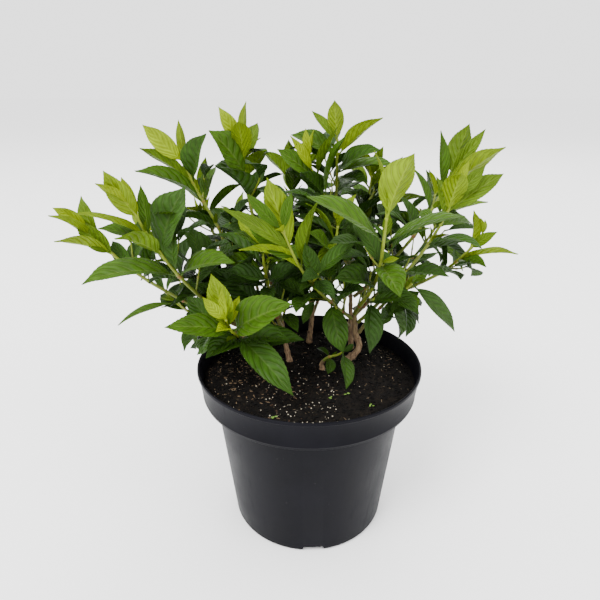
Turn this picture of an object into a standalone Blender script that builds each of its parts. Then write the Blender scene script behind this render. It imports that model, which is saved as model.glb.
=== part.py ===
"""A young panicle hydrangea in its round nursery pot, at its real size.

The origin is the middle of the pot's flat underside. +Z is up, -Y is the front and +X is the right.
Tables of places give millimetres, and everything else is in metres.
"""
import math
import random

import bmesh
import bpy
from mathutils import Matrix, Vector
from mathutils.bvhtree import BVHTree

MM = 0.001
GAP = 0.0003
MERGE = 0.00001
UP = Vector((0.0, 0.0, 1.0))
RIGHT = Vector((1.0, 0.0, 0.0))
FRONT = Vector((0.0, -1.0, 0.0))

# Pot
POT_HEIGHT = 0.175
RIM_RADIUS = 0.1125
LIP_HEIGHT = 0.003
LIP_STEP = 0.0012
LIP_ROUND = 0.0008
COLLAR_DEPTH = 0.031
COLLAR_FOOT_RADIUS = 0.1076
SHOULDER_DROP = 0.0035
BODY_TOP_RADIUS = 0.0955
BASE_RADIUS = 0.0802
BASE_ROUND = 0.004
WALL = 0.0022
FLOOR = 0.003
POT_STEPS = 48
NOTCH_COUNT = 4
NOTCH_FOOT_WIDTH = 0.028
NOTCH_TOP_WIDTH = 0.0185
NOTCH_HEIGHT = 0.006
NOTCH_DEPTH = 0.008
FIRST_NOTCH = -86.0

# Soil
SOIL_LEVEL = 0.160

# Stems that rise from the soil: foot (x, y), points above it (x, y, z), foot and tip radius, all in mm
STEMS = {
    "stem_right": ((38, 18), ((52, 20, 177), (48, 26, 195), (47, 28, 212)), 3.5, 2.8),
    "stem_right_back": ((47, 52), ((45, 51, 200), (44, 50, 238)), 2.6, 1.9),
    "stem_left": ((-69, 36), ((-71, 38, 182), (-75, 38, 204)), 3.2, 2.4),
    "stem_front_left": ((-47, 11), ((-55, 9, 172), (-60, 3, 184)), 1.9, 1.6),
    "stem_middle": ((-21, 21), ((-25, 22, 182), (-29, 24, 208)), 2.8, 2.2),
    "stem_back": ((0, 68), ((3, 72, 188), (4, 74, 216)), 2.8, 2.1),
    "stem_back_left": ((-42, 62), ((-48, 66, 182), (-54, 70, 206)), 2.5, 1.9),
    "stem_stub": ((14, 5), ((13, 5, 166), (15, 4, 170.5)), 2.6, 2.0),
}
FOOT_RISE = 2.0 * MM
FOOT_FLARE = 0.45
FLARED_SHARE = 0.25

# Boughs: the limb that carries each, how far up it the bough leaves, and the bough's tip in mm
BOUGHS = {
    "bough_front_right": ("stem_right", 1.00, (59, 0, 249)),
    "bough_front_centre": ("stem_right", 0.88, (25, 12, 229)),
    "bough_right": ("stem_right", 0.80, (93, 0, 270)),
    "bough_low_right": ("stem_right", 0.62, (76, 10, 234)),
    "bough_top_centre": ("stem_right_back", 1.00, (35, 46, 286)),
    "bough_top_right": ("stem_right_back", 0.88, (56, 72, 290)),
    "bough_upper_right": ("stem_right_back", 0.80, (95, 30, 286)),
    "bough_far_right": ("stem_right_back", 0.66, (112, 25, 249)),
    "bough_back_far_right": ("stem_right_back", 0.56, (104, 76, 248)),
    "bough_inner_right": ("stem_right_back", 0.48, (22, 20, 240)),
    "bough_top_left": ("stem_middle", 1.00, (-53, 32, 300)),
    "bough_centre": ("stem_middle", 0.84, (-38, 6, 240)),
    "bough_top": ("stem_back", 1.00, (24, 72, 305)),
    "bough_back_right": ("stem_back", 0.86, (54, 106, 258)),
    "bough_back_centre": ("stem_back", 0.78, (-14, 108, 262)),
    "bough_back_low": ("stem_back", 0.62, (20, 118, 222)),
    "bough_upper_left": ("stem_left", 1.00, (-83, 35, 276)),
    "bough_left": ("stem_left", 0.86, (-102, 0, 238)),
    "bough_far_left": ("stem_left", 0.76, (-144, 20, 239)),
    "bough_low_left": ("stem_left", 0.60, (-102, 30, 199)),
    "bough_back_left": ("stem_back_left", 1.00, (-92, 80, 258)),
    "bough_back_far_left": ("stem_back_left", 0.82, (-118, 64, 228)),
    "bough_back_low_left": ("stem_back_left", 0.64, (-64, 102, 226)),
}
BOUGH_FOOT_RADIUS = 2.0 * MM
BOUGH_TIP_RADIUS = 1.55 * MM
BOUGH_OPENING = 50.0
BOUGH_PULL = 0.8
BOUGH_POINTS = 6
BOUGH_LEAN = 0.45
BOUGH_ONWARD = 0.5
BOUGH_STEP = 0.15 * MM
BOUGH_TRIES = 200

# Foliage: the limb at whose tip each mass starts, its growing tip in mm, pairs of leaves, how far up the
# twig the lowest pair is, length of a full leaf in mm, the way the lowest pair faces in degrees from the
# right towards the front, and side twigs
FOLIAGE = {
    "leaves_front_left": ("stem_front_left", (-72, -62, 245), 4, 0.45, 70, 150, 0),
    "leaves_front_right": ("bough_front_right", (62, -55, 333), 4, 0.04, 70, 100, 0),
    "leaves_front_centre": ("bough_front_centre", (-22, -56, 322), 5, 0.06, 60, 0, 0),
    "leaves_left": ("bough_left", (-150, -45, 343), 5, 0.33, 64, 0, 1),
    "leaves_far_left": ("bough_far_left", (-206, 2, 308), 4, 0.42, 54, 60, 0),
    "leaves_upper_left": ("bough_upper_left", (-120, 35, 365), 4, 0.28, 60, 30, 1),
    "leaves_top_left": ("bough_top_left", (-62, 22, 380), 4, 0.40, 56, 0, 1),
    "leaves_top_centre": ("bough_top_centre", (-1, 46, 364), 4, 0.26, 58, 0, 0),
    "leaves_top": ("bough_top", (26, 54, 385), 4, 0.30, 62, 110, 0),
    "leaves_upper_right": ("bough_upper_right", (131, 30, 354), 4, 0.16, 58, 0, 1),
    "leaves_right": ("bough_right", (129, 0, 338), 4, 0.40, 60, 40, 0),
    "leaves_far_right": ("bough_far_right", (157, -6, 307), 4, 0.22, 54, 60, 0),
    "leaves_low_right": ("bough_low_right", (98, 0, 257), 3, 0.10, 58, 20, 0),
    "leaves_top_right": ("bough_top_right", (63, 72, 348), 4, 0.15, 58, 40, 1),
    "leaves_centre": ("bough_centre", (-44, -10, 296), 5, 0.15, 62, 20, 1),
    "leaves_inner_right": ("bough_inner_right", (26, 4, 312), 4, 0.22, 54, 45, 0),
    "leaves_low_left": ("bough_low_left", (-148, 26, 237), 4, 0.08, 56, 60, 0),
    "leaves_back_left": ("bough_back_left", (-122, 108, 322), 5, 0.15, 62, 10, 1),
    "leaves_back_far_left": ("bough_back_far_left", (-168, 78, 286), 5, 0.15, 60, 50, 0),
    "leaves_back_centre": ("bough_back_centre", (-22, 128, 342), 6, 0.12, 64, 0, 1),
    "leaves_back_right": ("bough_back_right", (80, 132, 324), 5, 0.15, 62, 30, 1),
    "leaves_back_low": ("bough_back_low", (30, 150, 272), 5, 0.15, 60, 60, 1),
    "leaves_back_far_right": ("bough_back_far_right", (148, 92, 314), 5, 0.15, 60, 80, 1),
    "leaves_back_low_left": ("bough_back_low_left", (-84, 142, 280), 5, 0.15, 58, 35, 1),
    "leaves_sucker": ("stem_stub", (34, -2, 184), 2, 0.35, 34, 100, 0),
}

# Leaves that light has drawn a set way: pair and side, where the tip reaches in mm, how far the upper
# face is turned to the front (the underside where negative), and breadth where it isn't the usual share.
# A pair with a fraction is a leaf of its own, grown from a bud between two pairs.
LEAF_TIPS = {
    "leaves_front_left": {
        (0, 0): (-13, -82, 182, 0.6, 0.32), (0, 1): (-92, -62, 208, 0.5),
        (1, 0): (-14, -72, 265, 0.6, 0.46), (1, 1): (-120, -82, 247, 0.5, 0.34),
        (1.5, 0): (-78, -78, 242, 0.8, 0.42), (2, 0): (-83, -58, 286, 1.0, 0.42),
        (2, 1): (-62, -42, 260, 1.0, 0.34), (3, 0): (-88, -74, 271, 0.5, 0.34),
        (3, 1): (-73, -68, 277, 0.8, 0.22)},
    "leaves_front_centre": {
        (0, 0): (33, -22, 193, 0.8, 0.48), (0, 1): (-9, -8, 243, 0.6), (1, 0): (16, -34, 261, 0.6, 0.46),
        (1, 1): (-9, -34, 261, 0.6), (2, 0): (-56, -78, 313, -0.8, 0.32),
        (2, 1): (6, -50, 346, -0.8, 0.28), (2.5, 1): (-53, -50, 328, 0.8, 0.36),
        (3, 0): (-34, -58, 366, -1.2, 0.34), (3, 1): (-65, -90, 348, 0.6, 0.18),
        (4, 0): (-52, -46, 351, 0.8, 0.26), (4, 1): (-15, -44, 352, 0.8, 0.3)},
    "leaves_front_right": {
        (0, 0): (102, -28, 237, 0.7, 0.42), (0, 1): (22, -38, 275, 0.7, 0.5),
        (1, 0): (76, -66, 269, 0.6, 0.58), (1, 1): (36, -25, 328, 0.4, 0.36),
        (2, 0): (120, -72, 339, -0.4, 0.36), (2, 1): (-3, -76, 355, 0.0, 0.34),
        (3, 0): (79, -62, 385, -1.2, 0.54), (3, 1): (51, -42, 385, -0.6, 0.2)},
    "leaves_left": {
        (0, 0): (-204, -38, 268, 0.5, 0.32), (0, 1): (-63, -52, 294, 0.6),
        (0.1, 1): (-116, -30, 323, 1.0, 0.5), (1, 0): (-154, -76, 321, -0.8, 0.44),
        (1, 1): (-108, -18, 352, 0.9, 0.6), (1.6, 0): (-181, -40, 320, 0.5, 0.32),
        (2, 0): (-187, -70, 340, -0.5, 0.2), (2, 1): (-142, -34, 356, -0.8, 0.26),
        (3, 0): (-165, -52, 370, 1.2, 0.42), (3, 1): (-156, -38, 363, 1.2, 0.36),
        (4, 0): (-168, -64, 362, -1.0, 0.32), (4, 1): (-152, -30, 351, -0.5, 0.26)},
    "leaves_far_left": {
        (0, 0): (-194, 22, 292, 0.8, 0.44), (0, 1): (-165, 34, 292, 0.8, 0.5),
        (1, 0): (-227, -28, 305, -1.0, 0.36), (1, 1): (-217, -2, 317, 1.0, 0.42),
        (2, 0): (-231, -22, 327, -0.6, 0.26), (2, 1): (-214, 12, 338, 0.9, 0.36),
        (3, 0): (-233, 6, 324, 0.4, 0.26)},
    "leaves_upper_left": {
        (0, 0): (-128, 4, 319, -0.6), (0, 1): (-60, 14, 302, 0.5), (1, 0): (-161, 12, 361, 0.6, 0.42),
        (1, 1): (-95, 64, 358, 0.8), (2, 0): (-158, 24, 380, -0.9, 0.3), (2, 1): (-95, 22, 393, 1.2, 0.6),
        (2.5, 1): (-123, 30, 388, -0.8, 0.22), (3, 0): (-155, 30, 400, 1.2, 0.38),
        (3, 1): (-124, 42, 404, -0.8, 0.24)},
    "leaves_top_left": {
        (0, 0): (-84, -4, 368, 0.8, 0.58), (0, 1): (-42, 44, 361, 0.8), (1, 0): (-89, 4, 397, 1.0, 0.58),
        (1, 1): (-39, 10, 380, -1.0, 0.46), (2, 0): (-60, -12, 406, -1.2, 0.36),
        (2, 1): (-50, 46, 401, 0.8), (3, 0): (-81, 14, 416, 1.2, 0.36),
        (3, 1): (-59, 34, 420, -0.6, 0.24)},
    "leaves_top_centre": {
        (0, 0): (-26, 18, 341, 0.5, 0.34), (1, 0): (32, 28, 391, 0.4, 0.38), (1, 1): (-9, 16, 360, -0.6),
        (2, 0): (-32, 46, 377, 0.8, 0.44), (2.4, 0): (-19, 38, 390, 0.6, 0.24),
        (3, 0): (-5, 46, 396, 0.8, 0.28), (3, 1): (3, 56, 394, -0.8, 0.22)},
    "leaves_top": {
        (0, 0): (-8, 66, 319, 0.5), (0.6, 0): (56, 40, 347, 0.9, 0.5), (1, 0): (64, 22, 379, 1.0, 0.5),
        (2, 0): (-20, 76, 388, 0.8, 0.4), (2, 1): (67, 40, 406, -1.0, 0.34),
        (3, 0): (22, 46, 421, -1.2, 0.46), (3, 1): (1, 60, 411, 0.8, 0.3)},
    "leaves_top_right": {
        (3, 0): (72, 64, 378, 0.8), (3, 1): (52, 70, 374, -0.8), (2, 1): (81, 58, 361, 0.8)},
    "leaves_upper_right": {
        (0, 0): (87, 34, 335, 0.8), (1, 0): (98, 38, 361, 0.8, 0.28), (2, 0): (121, 38, 395, 0.8, 0.22),
        (2, 1): (173, 10, 383, -1.0, 0.34), (3, 0): (146, 36, 401, -1.0, 0.46),
        (3, 1): (159, 28, 397, 0.5, 0.24)},
    "leaves_right": {
        (0, 0): (145, -46, 306, 0.5, 0.38), (1, 0): (92, -30, 330, 0.4),
        (0, 1): (127, 14, 274, 0.8, 0.32), (1.5, 1): (114, 8, 357, 0.8, 0.46),
        (2, 0): (129, -16, 364, -1.2, 0.56), (1, 1): (159, 29, 308, 0.6, 0.34),
        (2, 1): (176, 14, 359, 1.0, 0.32), (3, 0): (156, 6, 367, 1.0),
        (3, 1): (138, -4, 373, -1.0, 0.26)},
    "leaves_far_right": {
        (0, 0): (137, -26, 271, 0.5, 0.5), (0, 1): (123, -6, 281, 0.8, 0.4),
        (1, 0): (186, -22, 294, -0.8, 0.3), (1, 1): (160, -20, 281, 0.6, 0.5),
        (2, 0): (148, -2, 329, -0.5, 0.36), (2, 1): (166, -18, 313, 0.8),
        (3, 0): (161, 4, 319, 0.8, 0.28), (3, 1): (152, -10, 324, -0.8, 0.28)},
    "leaves_low_right": {
        (0, 0): (93, 18, 189, 0.8, 0.44), (0, 1): (73, 2, 212, 0.8, 0.5),
        (1, 0): (105, -8, 233, 0.8, 0.56), (1, 1): (58, -8, 240, 0.8), (2, 0): (109, -10, 282, 0.8, 0.44),
        (2, 1): (149, 14, 200, 0.8, 0.26)},
    "leaves_low_left": {
        (0, 0): (-130, 8, 178, 0.8, 0.54), (0, 1): (-121, 24, 174, 0.8, 0.54),
        (1, 0): (-160, 46, 226, 0.3, 0.5), (2, 0): (-197, 12, 205, 0.4, 0.2),
        (2, 1): (-123, 54, 234, 0.8), (3, 0): (-159, 30, 272, 0.8), (3, 1): (-131, 20, 263, 0.8)},
    "leaves_inner_right": {
        (0, 0): (8, -26, 281, 0.8, 0.46), (1, 0): (39, -12, 284, 0.8, 0.46),
        (1, 1): (-2, -18, 312, 0.8, 0.46), (2, 1): (8, -14, 273, 0.9, 0.48)},
    "leaves_centre": {
        (0, 0): (-78, -38, 268, 0.7, 0.4), (0, 1): (-4, -20, 276, 0.7, 0.42),
        (1, 0): (-86, -10, 284, 0.6, 0.42)},
    "leaves_back_far_left": {
        (1, 0): (-167, 46, 263, 0.4)},
    "leaves_sucker": {
        (0, 0): (19, -14, 165, 0.6, 0.6), (0, 1): (8, 18, 178, 0.6), (1, 0): (36, -40, 164, 0.6, 0.42),
        (1, 1): (46, 8, 188, 0.6, 0.4)},
}

# Growth rule
SEED = 1407
TWIG_FOOT_RADIUS = 1.7 * MM
TWIG_TIP_RADIUS = 1.1 * MM
TWIG_POINTS = 5
TWIG_CLEARANCE = 0.52 * MM
NODE_CROWDING = 0.80
LOW_OPENING = 74.0
TIP_OPENING = 24.0
LOW_BEND = 46.0
TIP_BEND = 16.0
LEAF_SLENDERNESS = 0.42
PETIOLE_SHARE = 0.10
PETIOLE_RADIUS = 0.45 * MM
PETIOLE_START = 0.25 * MM
BLADE_SECTIONS = (0.26, 0.66)
RIB_THICKNESS = 0.020
LEAST_THICKNESS = 0.6 * MM
LEAF_FOLD = 24.0
SHOW_SPREAD = 0.7
TURN_JITTER = 9.0
OPENING_JITTER = 7.0
BEND_JITTER = 8.0
LENGTH_SPREAD = (0.92, 1.06)
BREADTH_SPREAD = (0.92, 1.08)
TIP_SLIMMING = 0.18
SKY_LIFT = 1.1
LAST_NODE = 0.995
TRY_SHARE = 0.4
TWIG_RISE = 0.5
SIDE_TWIG_TIP_RADIUS = 0.88 * MM
SIDE_TWIG_LENGTH = 0.26
SIDE_TWIG_RISE = 2.0 * MM
SIDE_TWIG_OPENING = 46.0
SIDE_LEAF_SHARE = 0.66
SIDE_LEAF_PLACE = 0.9
SIDE_LEAF_TURN = 45.0
SIDE_TWIG_PLACE = 0.02
TRIES = ((0, 0, 1.0), (12, 0, 1.0), (-12, 0, 1.0), (0, 14, 1.0), (0, -14, 1.0), (24, 8, 0.9), (-24, 8, 0.9),
         (16, -22, 0.85), (-16, -22, 0.85), (0, 28, 0.8), (34, 0, 0.75), (-34, 0, 0.75), (0, 0, 0.6))

COLLECTION = "panicle_hydrangea"
COLOURS = {
    "pot": ((0.022, 0.024, 0.030), 0.45),
    "soil": ((0.020, 0.014, 0.010), 0.95),
    "stem": ((0.26, 0.17, 0.10), 0.80),
    "bough": ((0.22, 0.24, 0.07), 0.60),
    "leaves": ((0.09, 0.22, 0.03), 0.50),
}


def clear_scene():
    for item in list(bpy.data.objects):
        bpy.data.objects.remove(item, do_unlink=True)


def new_collection(name):
    folder = bpy.data.collections.new(name)
    bpy.context.scene.collection.children.link(folder)
    return folder


def material_for(name, kind):
    colour, roughness = COLOURS[kind]
    material = bpy.data.materials.new(name)
    material.use_nodes = True
    shader = material.node_tree.nodes["Principled BSDF"]
    shader.inputs["Base Color"].default_value = (*colour, 1.0)
    shader.inputs["Roughness"].default_value = roughness
    shader.inputs["Metallic"].default_value = 0.0
    return material


def add_object(name, mesh, folder, kind=None):
    item = bpy.data.objects.new(name, mesh)
    folder.objects.link(item)
    if kind:
        mesh.materials.clear()
        mesh.materials.append(material_for(name, kind))
    return item


def evaluated_mesh(item):
    bpy.context.view_layer.update()
    seen = item.evaluated_get(bpy.context.evaluated_depsgraph_get())
    return bpy.data.meshes.new_from_object(seen)


def apply_modifiers(item):
    mesh = evaluated_mesh(item)
    item.modifiers.clear()
    item.data = mesh


# Pot and soil
def mesh_from_profile(name, profile):
    mesh = bpy.data.meshes.new(name)
    edges = [(i, i + 1) for i in range(len(profile) - 1)]
    mesh.from_pydata([(radius, 0.0, height) for radius, height in profile], edges, [])
    return mesh


def turn_on_lathe(name, profile, folder, kind):
    item = add_object(name, mesh_from_profile(name, profile), folder, kind)
    screw = item.modifiers.new("lathe", "SCREW")
    screw.steps = POT_STEPS
    screw.render_steps = POT_STEPS
    screw.use_merge_vertices = True
    screw.merge_threshold = 0.0001
    return item


def collar_radius(height):
    share = (height - (POT_HEIGHT - COLLAR_DEPTH)) / COLLAR_DEPTH
    return COLLAR_FOOT_RADIUS + share * (RIM_RADIUS - COLLAR_FOOT_RADIUS)


def inner_profile(top, clearance):
    """The pot's inside from the middle of its floor up to a height, kept clear of the wall."""
    collar_foot = POT_HEIGHT - COLLAR_DEPTH
    inset = WALL + clearance
    return [
        (0.0, FLOOR + clearance),
        (BASE_RADIUS - inset, FLOOR + clearance),
        (BODY_TOP_RADIUS - inset, collar_foot - SHOULDER_DROP + WALL + clearance),
        (COLLAR_FOOT_RADIUS - inset, collar_foot + WALL + clearance),
        (collar_radius(top) - inset, top),
    ]


def build_pot(folder, cutters):
    collar_foot = POT_HEIGHT - COLLAR_DEPTH
    outside = [
        (RIM_RADIUS - LIP_ROUND, POT_HEIGHT),
        (RIM_RADIUS, POT_HEIGHT - LIP_ROUND),
        (RIM_RADIUS, POT_HEIGHT - LIP_HEIGHT),
        (RIM_RADIUS - LIP_STEP, POT_HEIGHT - LIP_HEIGHT - LIP_STEP),
        (COLLAR_FOOT_RADIUS, collar_foot),
        (BODY_TOP_RADIUS, collar_foot - SHOULDER_DROP),
        (BASE_RADIUS, BASE_ROUND),
        (BASE_RADIUS - BASE_ROUND * 0.3, BASE_ROUND * 0.3),
        (BASE_RADIUS - BASE_ROUND, 0.0),
        (0.0, 0.0),
    ]
    pot = turn_on_lathe("pot", inner_profile(POT_HEIGHT, 0.0) + outside, folder, "pot")
    for index in range(NOTCH_COUNT):
        heading = math.radians(FIRST_NOTCH + 360.0 * index / NOTCH_COUNT)
        cut = pot.modifiers.new(f"notch_{index}", "BOOLEAN")
        cut.operation = "DIFFERENCE"
        cut.solver = "EXACT"
        cut.object = notch_cutter(f"notch_cutter_{index}", heading, cutters)
    return pot


def notch_cutter(name, heading, cutters):
    """A wedge, narrower at its top, that cuts a drain slot through the foot of the wall."""
    shape = bmesh.new()
    bmesh.ops.create_cube(shape, size=1.0)
    for vertex in shape.verts:
        width = NOTCH_TOP_WIDTH if vertex.co.z > 0 else NOTCH_FOOT_WIDTH
        height = NOTCH_HEIGHT if vertex.co.z > 0 else -NOTCH_HEIGHT
        vertex.co = Vector((vertex.co.x * 2.0 * NOTCH_DEPTH, vertex.co.y * width, height))
    mesh = bpy.data.meshes.new(name)
    shape.to_mesh(mesh)
    shape.free()
    cutter = add_object(name, mesh, cutters)
    cutter.location = (BASE_RADIUS * math.cos(heading), BASE_RADIUS * math.sin(heading), 0.0)
    cutter.rotation_euler = (0.0, 0.0, heading)
    cutter.display_type = "WIRE"
    cutter.hide_render = True
    return cutter


def build_soil(folder):
    profile = [(0.0, SOIL_LEVEL)] + list(reversed(inner_profile(SOIL_LEVEL, GAP)))
    return turn_on_lathe("soil", profile, folder, "soil")


# Limbs
def place(point):
    return Vector(point) * MM


def hermite(start, start_pull, end, end_pull, count):
    """Points evenly spread in parameter along a smooth curve between two places."""
    points = []
    for index in range(count):
        t = index / (count - 1)
        a = 2 * t ** 3 - 3 * t ** 2 + 1
        b = t ** 3 - 2 * t ** 2 + t
        c = -2 * t ** 3 + 3 * t ** 2
        d = t ** 3 - t ** 2
        points.append(start * a + start_pull * b + end * c + end_pull * d)
    return points


def point_along(points, share):
    place_on = share * (len(points) - 1)
    index = min(int(place_on), len(points) - 2)
    rest = place_on - index
    return points[index].lerp(points[index + 1], rest)


def direction_along(points, share):
    index = min(int(share * (len(points) - 1)), len(points) - 2)
    return (points[index + 1] - points[index]).normalized()


def three_sided_section():
    """The cross-section that a bevelled curve sweeps to make a three-sided twig, 1 mm in radius."""
    section = bpy.data.curves.new("twig_section", "CURVE")
    section.dimensions = "2D"
    spline = section.splines.new("POLY")
    spline.points.add(2)
    for number, knot in enumerate(spline.points):
        angle = math.radians(90.0 + 120.0 * number)
        knot.co = (MM * math.cos(angle), MM * math.sin(angle), 0.0, 1.0)
    spline.use_cyclic_u = True
    item = bpy.data.objects.new("twig_section", section)
    bpy.context.scene.collection.objects.link(item)
    return item


def limb_mesh(name, points, radii, resolution):
    """A tapering limb: a bevelled curve made a closed mesh, three-sided where no resolution is given."""
    curve = bpy.data.curves.new(name, "CURVE")
    curve.dimensions = "3D"
    curve.use_fill_caps = True
    section = None
    if resolution is None:
        section = three_sided_section()
        curve.bevel_mode = "OBJECT"
        curve.bevel_object = section
    else:
        curve.bevel_depth = MM
        curve.bevel_resolution = resolution
    spline = curve.splines.new("POLY")
    spline.points.add(len(points) - 1)
    for knot, point, radius in zip(spline.points, points, radii):
        knot.co = (*point, 1.0)
        knot.radius = radius / MM
    item = bpy.data.objects.new(name, curve)
    bpy.context.scene.collection.objects.link(item)
    mesh = evaluated_mesh(item)
    bpy.data.objects.remove(item, do_unlink=True)
    if section:
        bpy.data.objects.remove(section, do_unlink=True)
    shape = bmesh.new()
    shape.from_mesh(mesh)
    bmesh.ops.remove_doubles(shape, verts=shape.verts, dist=MERGE)
    bmesh.ops.recalc_face_normals(shape, faces=shape.faces)
    shape.to_mesh(mesh)
    shape.free()
    mesh.name = name
    return mesh


def tree_of(mesh):
    corners = [vertex.co.copy() for vertex in mesh.vertices]
    faces = [tuple(face.vertices) for face in mesh.polygons]
    return BVHTree.FromPolygons(corners, faces)


def smooth_through(points, steps):
    """A curve through a few places, with the same number of points between each two."""
    result = []
    for index in range(len(points) - 1):
        before = points[max(index - 1, 0)]
        start = points[index]
        end = points[index + 1]
        after = points[min(index + 2, len(points) - 1)]
        piece = hermite(start, (end - before) * 0.5, end, (after - start) * 0.5, steps + 1)
        result.extend(piece[:-1])
    result.append(points[-1].copy())
    return result


def build_stem(name, foot, above, foot_radius, tip_radius, folder):
    """A woody stem from its flat cut at soil level, flared there, to its fork."""
    ground = SOIL_LEVEL + GAP
    start = Vector((foot[0] * MM, foot[1] * MM, ground))
    path = [start] + smooth_through([start + UP * FOOT_RISE] + [place(point) for point in above], 2)
    radii = []
    for index in range(len(path)):
        share = index / (len(path) - 1)
        flare = 1.0 + FOOT_FLARE * max(0.0, 1.0 - share / FLARED_SHARE) ** 2
        radii.append((foot_radius + (tip_radius - foot_radius) * share) * MM * flare)
    mesh = limb_mesh(name, path, radii, 2)
    add_object(name, mesh, folder, "stem")
    return path, radii, mesh


def build_bough(name, carrier, share, tip, onward, limbs, folder):
    """A bough from beside its carrier to where its foliage starts, its foot cut back until it clears all."""
    path, radii, mesh = limbs[carrier]
    start = point_along(path, share)
    end = place(tip)
    reach = (end - start).length
    away = (end - start).normalized()
    axis = direction_along(path, share)
    if share < 1.0:
        sideways = (away - axis * away.dot(axis)).normalized()
        opening = math.radians(BOUGH_OPENING)
        leave = axis * math.cos(opening) + sideways * math.sin(opening)
    else:
        leave = (axis * BOUGH_LEAN + away).normalized()
    arrive = (onward.normalized() * BOUGH_ONWARD + away).normalized()
    woods = [tree_of(limb[2]) for limb in limbs.values()]
    for attempt in range(BOUGH_TRIES):
        first = start + leave * (GAP + BOUGH_STEP * attempt)
        line = hermite(first, leave * reach * BOUGH_PULL, end, arrive * reach * BOUGH_PULL, BOUGH_POINTS)
        taper = (BOUGH_TIP_RADIUS - BOUGH_FOOT_RADIUS) / (BOUGH_POINTS - 1)
        sizes = [BOUGH_FOOT_RADIUS + taper * index for index in range(BOUGH_POINTS)]
        swollen = limb_mesh(name, [first - leave * GAP] + line[1:], [size + GAP for size in sizes], 1)
        tree = tree_of(swollen)
        bpy.data.meshes.remove(swollen)
        if not any(tree.overlap(wood) for wood in woods):
            break
    bough = limb_mesh(name, line, sizes, 1)
    add_object(name, bough, folder, "bough")
    return line, sizes, bough


# Leaves
def leaf_width(t):
    """Half width of the blade at a share of its length, as a share of the half width at its broadest."""
    rise = 0.80
    fall = 1.15
    broadest = rise / (rise + fall)
    peak = broadest ** rise * (1.0 - broadest) ** fall
    return max(t, 0.0) ** rise * max(1.0 - t, 0.0) ** fall / peak


def leaf_axis(leaf, t):
    """Point, direction and face normal on the midrib at a share of the whole leaf's length."""
    bend = math.radians(leaf["bend"])
    angle = bend * t
    along = leaf["along"]
    face = leaf["face"]
    if abs(bend) < 0.001:
        point = along * t * leaf["length"]
    else:
        point = along * (math.sin(angle) / bend) * leaf["length"]
        point -= face * ((1.0 - math.cos(angle)) / bend) * leaf["length"]
    heading = along * math.cos(angle) - face * math.sin(angle)
    normal = face * math.cos(angle) + along * math.sin(angle)
    return leaf["root"] + point, heading, normal


def leaf_blade(leaf, swell=0.0):
    """Corners and faces of a leaf: a three-cornered petiole sunk in the twig, two folded sections, a tip."""
    length = leaf["length"]
    thick = max(RIB_THICKNESS * length, LEAST_THICKNESS) * 0.5 + swell
    fold = math.radians(leaf["fold"])
    point, heading, normal = leaf_axis(leaf, 0.0)
    side = heading.cross(normal).normalized()
    stalk = PETIOLE_RADIUS + swell
    start = point + heading * (PETIOLE_START + swell)
    corners = [start - side * stalk + normal * stalk * 0.5, start + side * stalk + normal * stalk * 0.5,
               start - normal * stalk]
    for blade_share in BLADE_SECTIONS:
        point, heading, normal = leaf_axis(leaf, PETIOLE_SHARE + blade_share * (1.0 - PETIOLE_SHARE))
        side = heading.cross(normal).normalized()
        half = leaf["width"] * 0.5 * leaf_width(blade_share) + swell
        rise = normal * half * math.sin(fold)
        spread = side * half * math.cos(fold)
        corners += [point - spread + rise, point + normal * thick, point + spread + rise,
                    point - normal * thick]
    corners.append(leaf_axis(leaf, 1.0)[0])
    faces = [(2, 1, 0), (0, 1, 4), (0, 4, 3), (1, 5, 4), (1, 2, 6, 5), (2, 0, 3, 6)]
    for corner in range(4):
        after = (corner + 1) % 4
        faces.append((3 + corner, 3 + after, 7 + after, 7 + corner))
        faces.append((7 + corner, 7 + after, 11))
    return corners, faces


def frame_round(direction):
    """Two directions square to a twig: one as near the right as it can be, and one towards the front."""
    across = (RIGHT - direction * RIGHT.dot(direction)).normalized()
    front = across.cross(direction).normalized()
    return across, front


def make_leaf(path, wish, turned, opened, shrunk):
    """A leaf on a twig: turned round it and opened from it, or drawn to its set tip, face to the sky."""
    root = point_along(path, wish["share"])
    axis = direction_along(path, wish["share"])
    across, front = frame_round(axis)
    bend = wish["bend"]
    half_bend = math.radians(bend) * 0.5
    tip = wish["tip"]
    sky = axis + UP * wish["lift"] + FRONT * tip[3]
    slender = tip[4] if len(tip) > 4 else wish["slender"]
    if tip[0] is not None:
        chord = place(tip[:3]) - root
        length = chord.length * half_bend / math.sin(half_bend)
        chord.normalize()
        side = chord.cross(sky).normalized()
        chord = Matrix.Rotation(math.radians(turned * TRY_SHARE), 3, sky.normalized()) @ chord
        chord = Matrix.Rotation(math.radians(opened * TRY_SHARE), 3, side) @ chord
        upward = (sky - chord * sky.dot(chord)).normalized()
        along = chord * math.cos(half_bend) + upward * math.sin(half_bend)
    else:
        length = wish["length"]
        turn = math.radians(wish["turn"] + turned)
        angle = math.radians(wish["opening"] + opened)
        out = across * math.cos(turn) + front * math.sin(turn)
        along = (axis * math.cos(angle) + out * math.sin(angle)).normalized()
    face = (sky - along * sky.dot(along)).normalized()
    length *= shrunk
    return {"root": root, "along": along, "face": face, "length": length, "width": length * slender,
            "bend": bend, "fold": LEAF_FOLD, "age": wish["age"]}


def box_of(corners):
    low = [min(corner[i] for corner in corners) for i in range(3)]
    high = [max(corner[i] for corner in corners) for i in range(3)]
    return low, high


def boxes_meet(first, second):
    return all(first[0][i] <= second[1][i] and second[0][i] <= first[1][i] for i in range(3))


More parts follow.
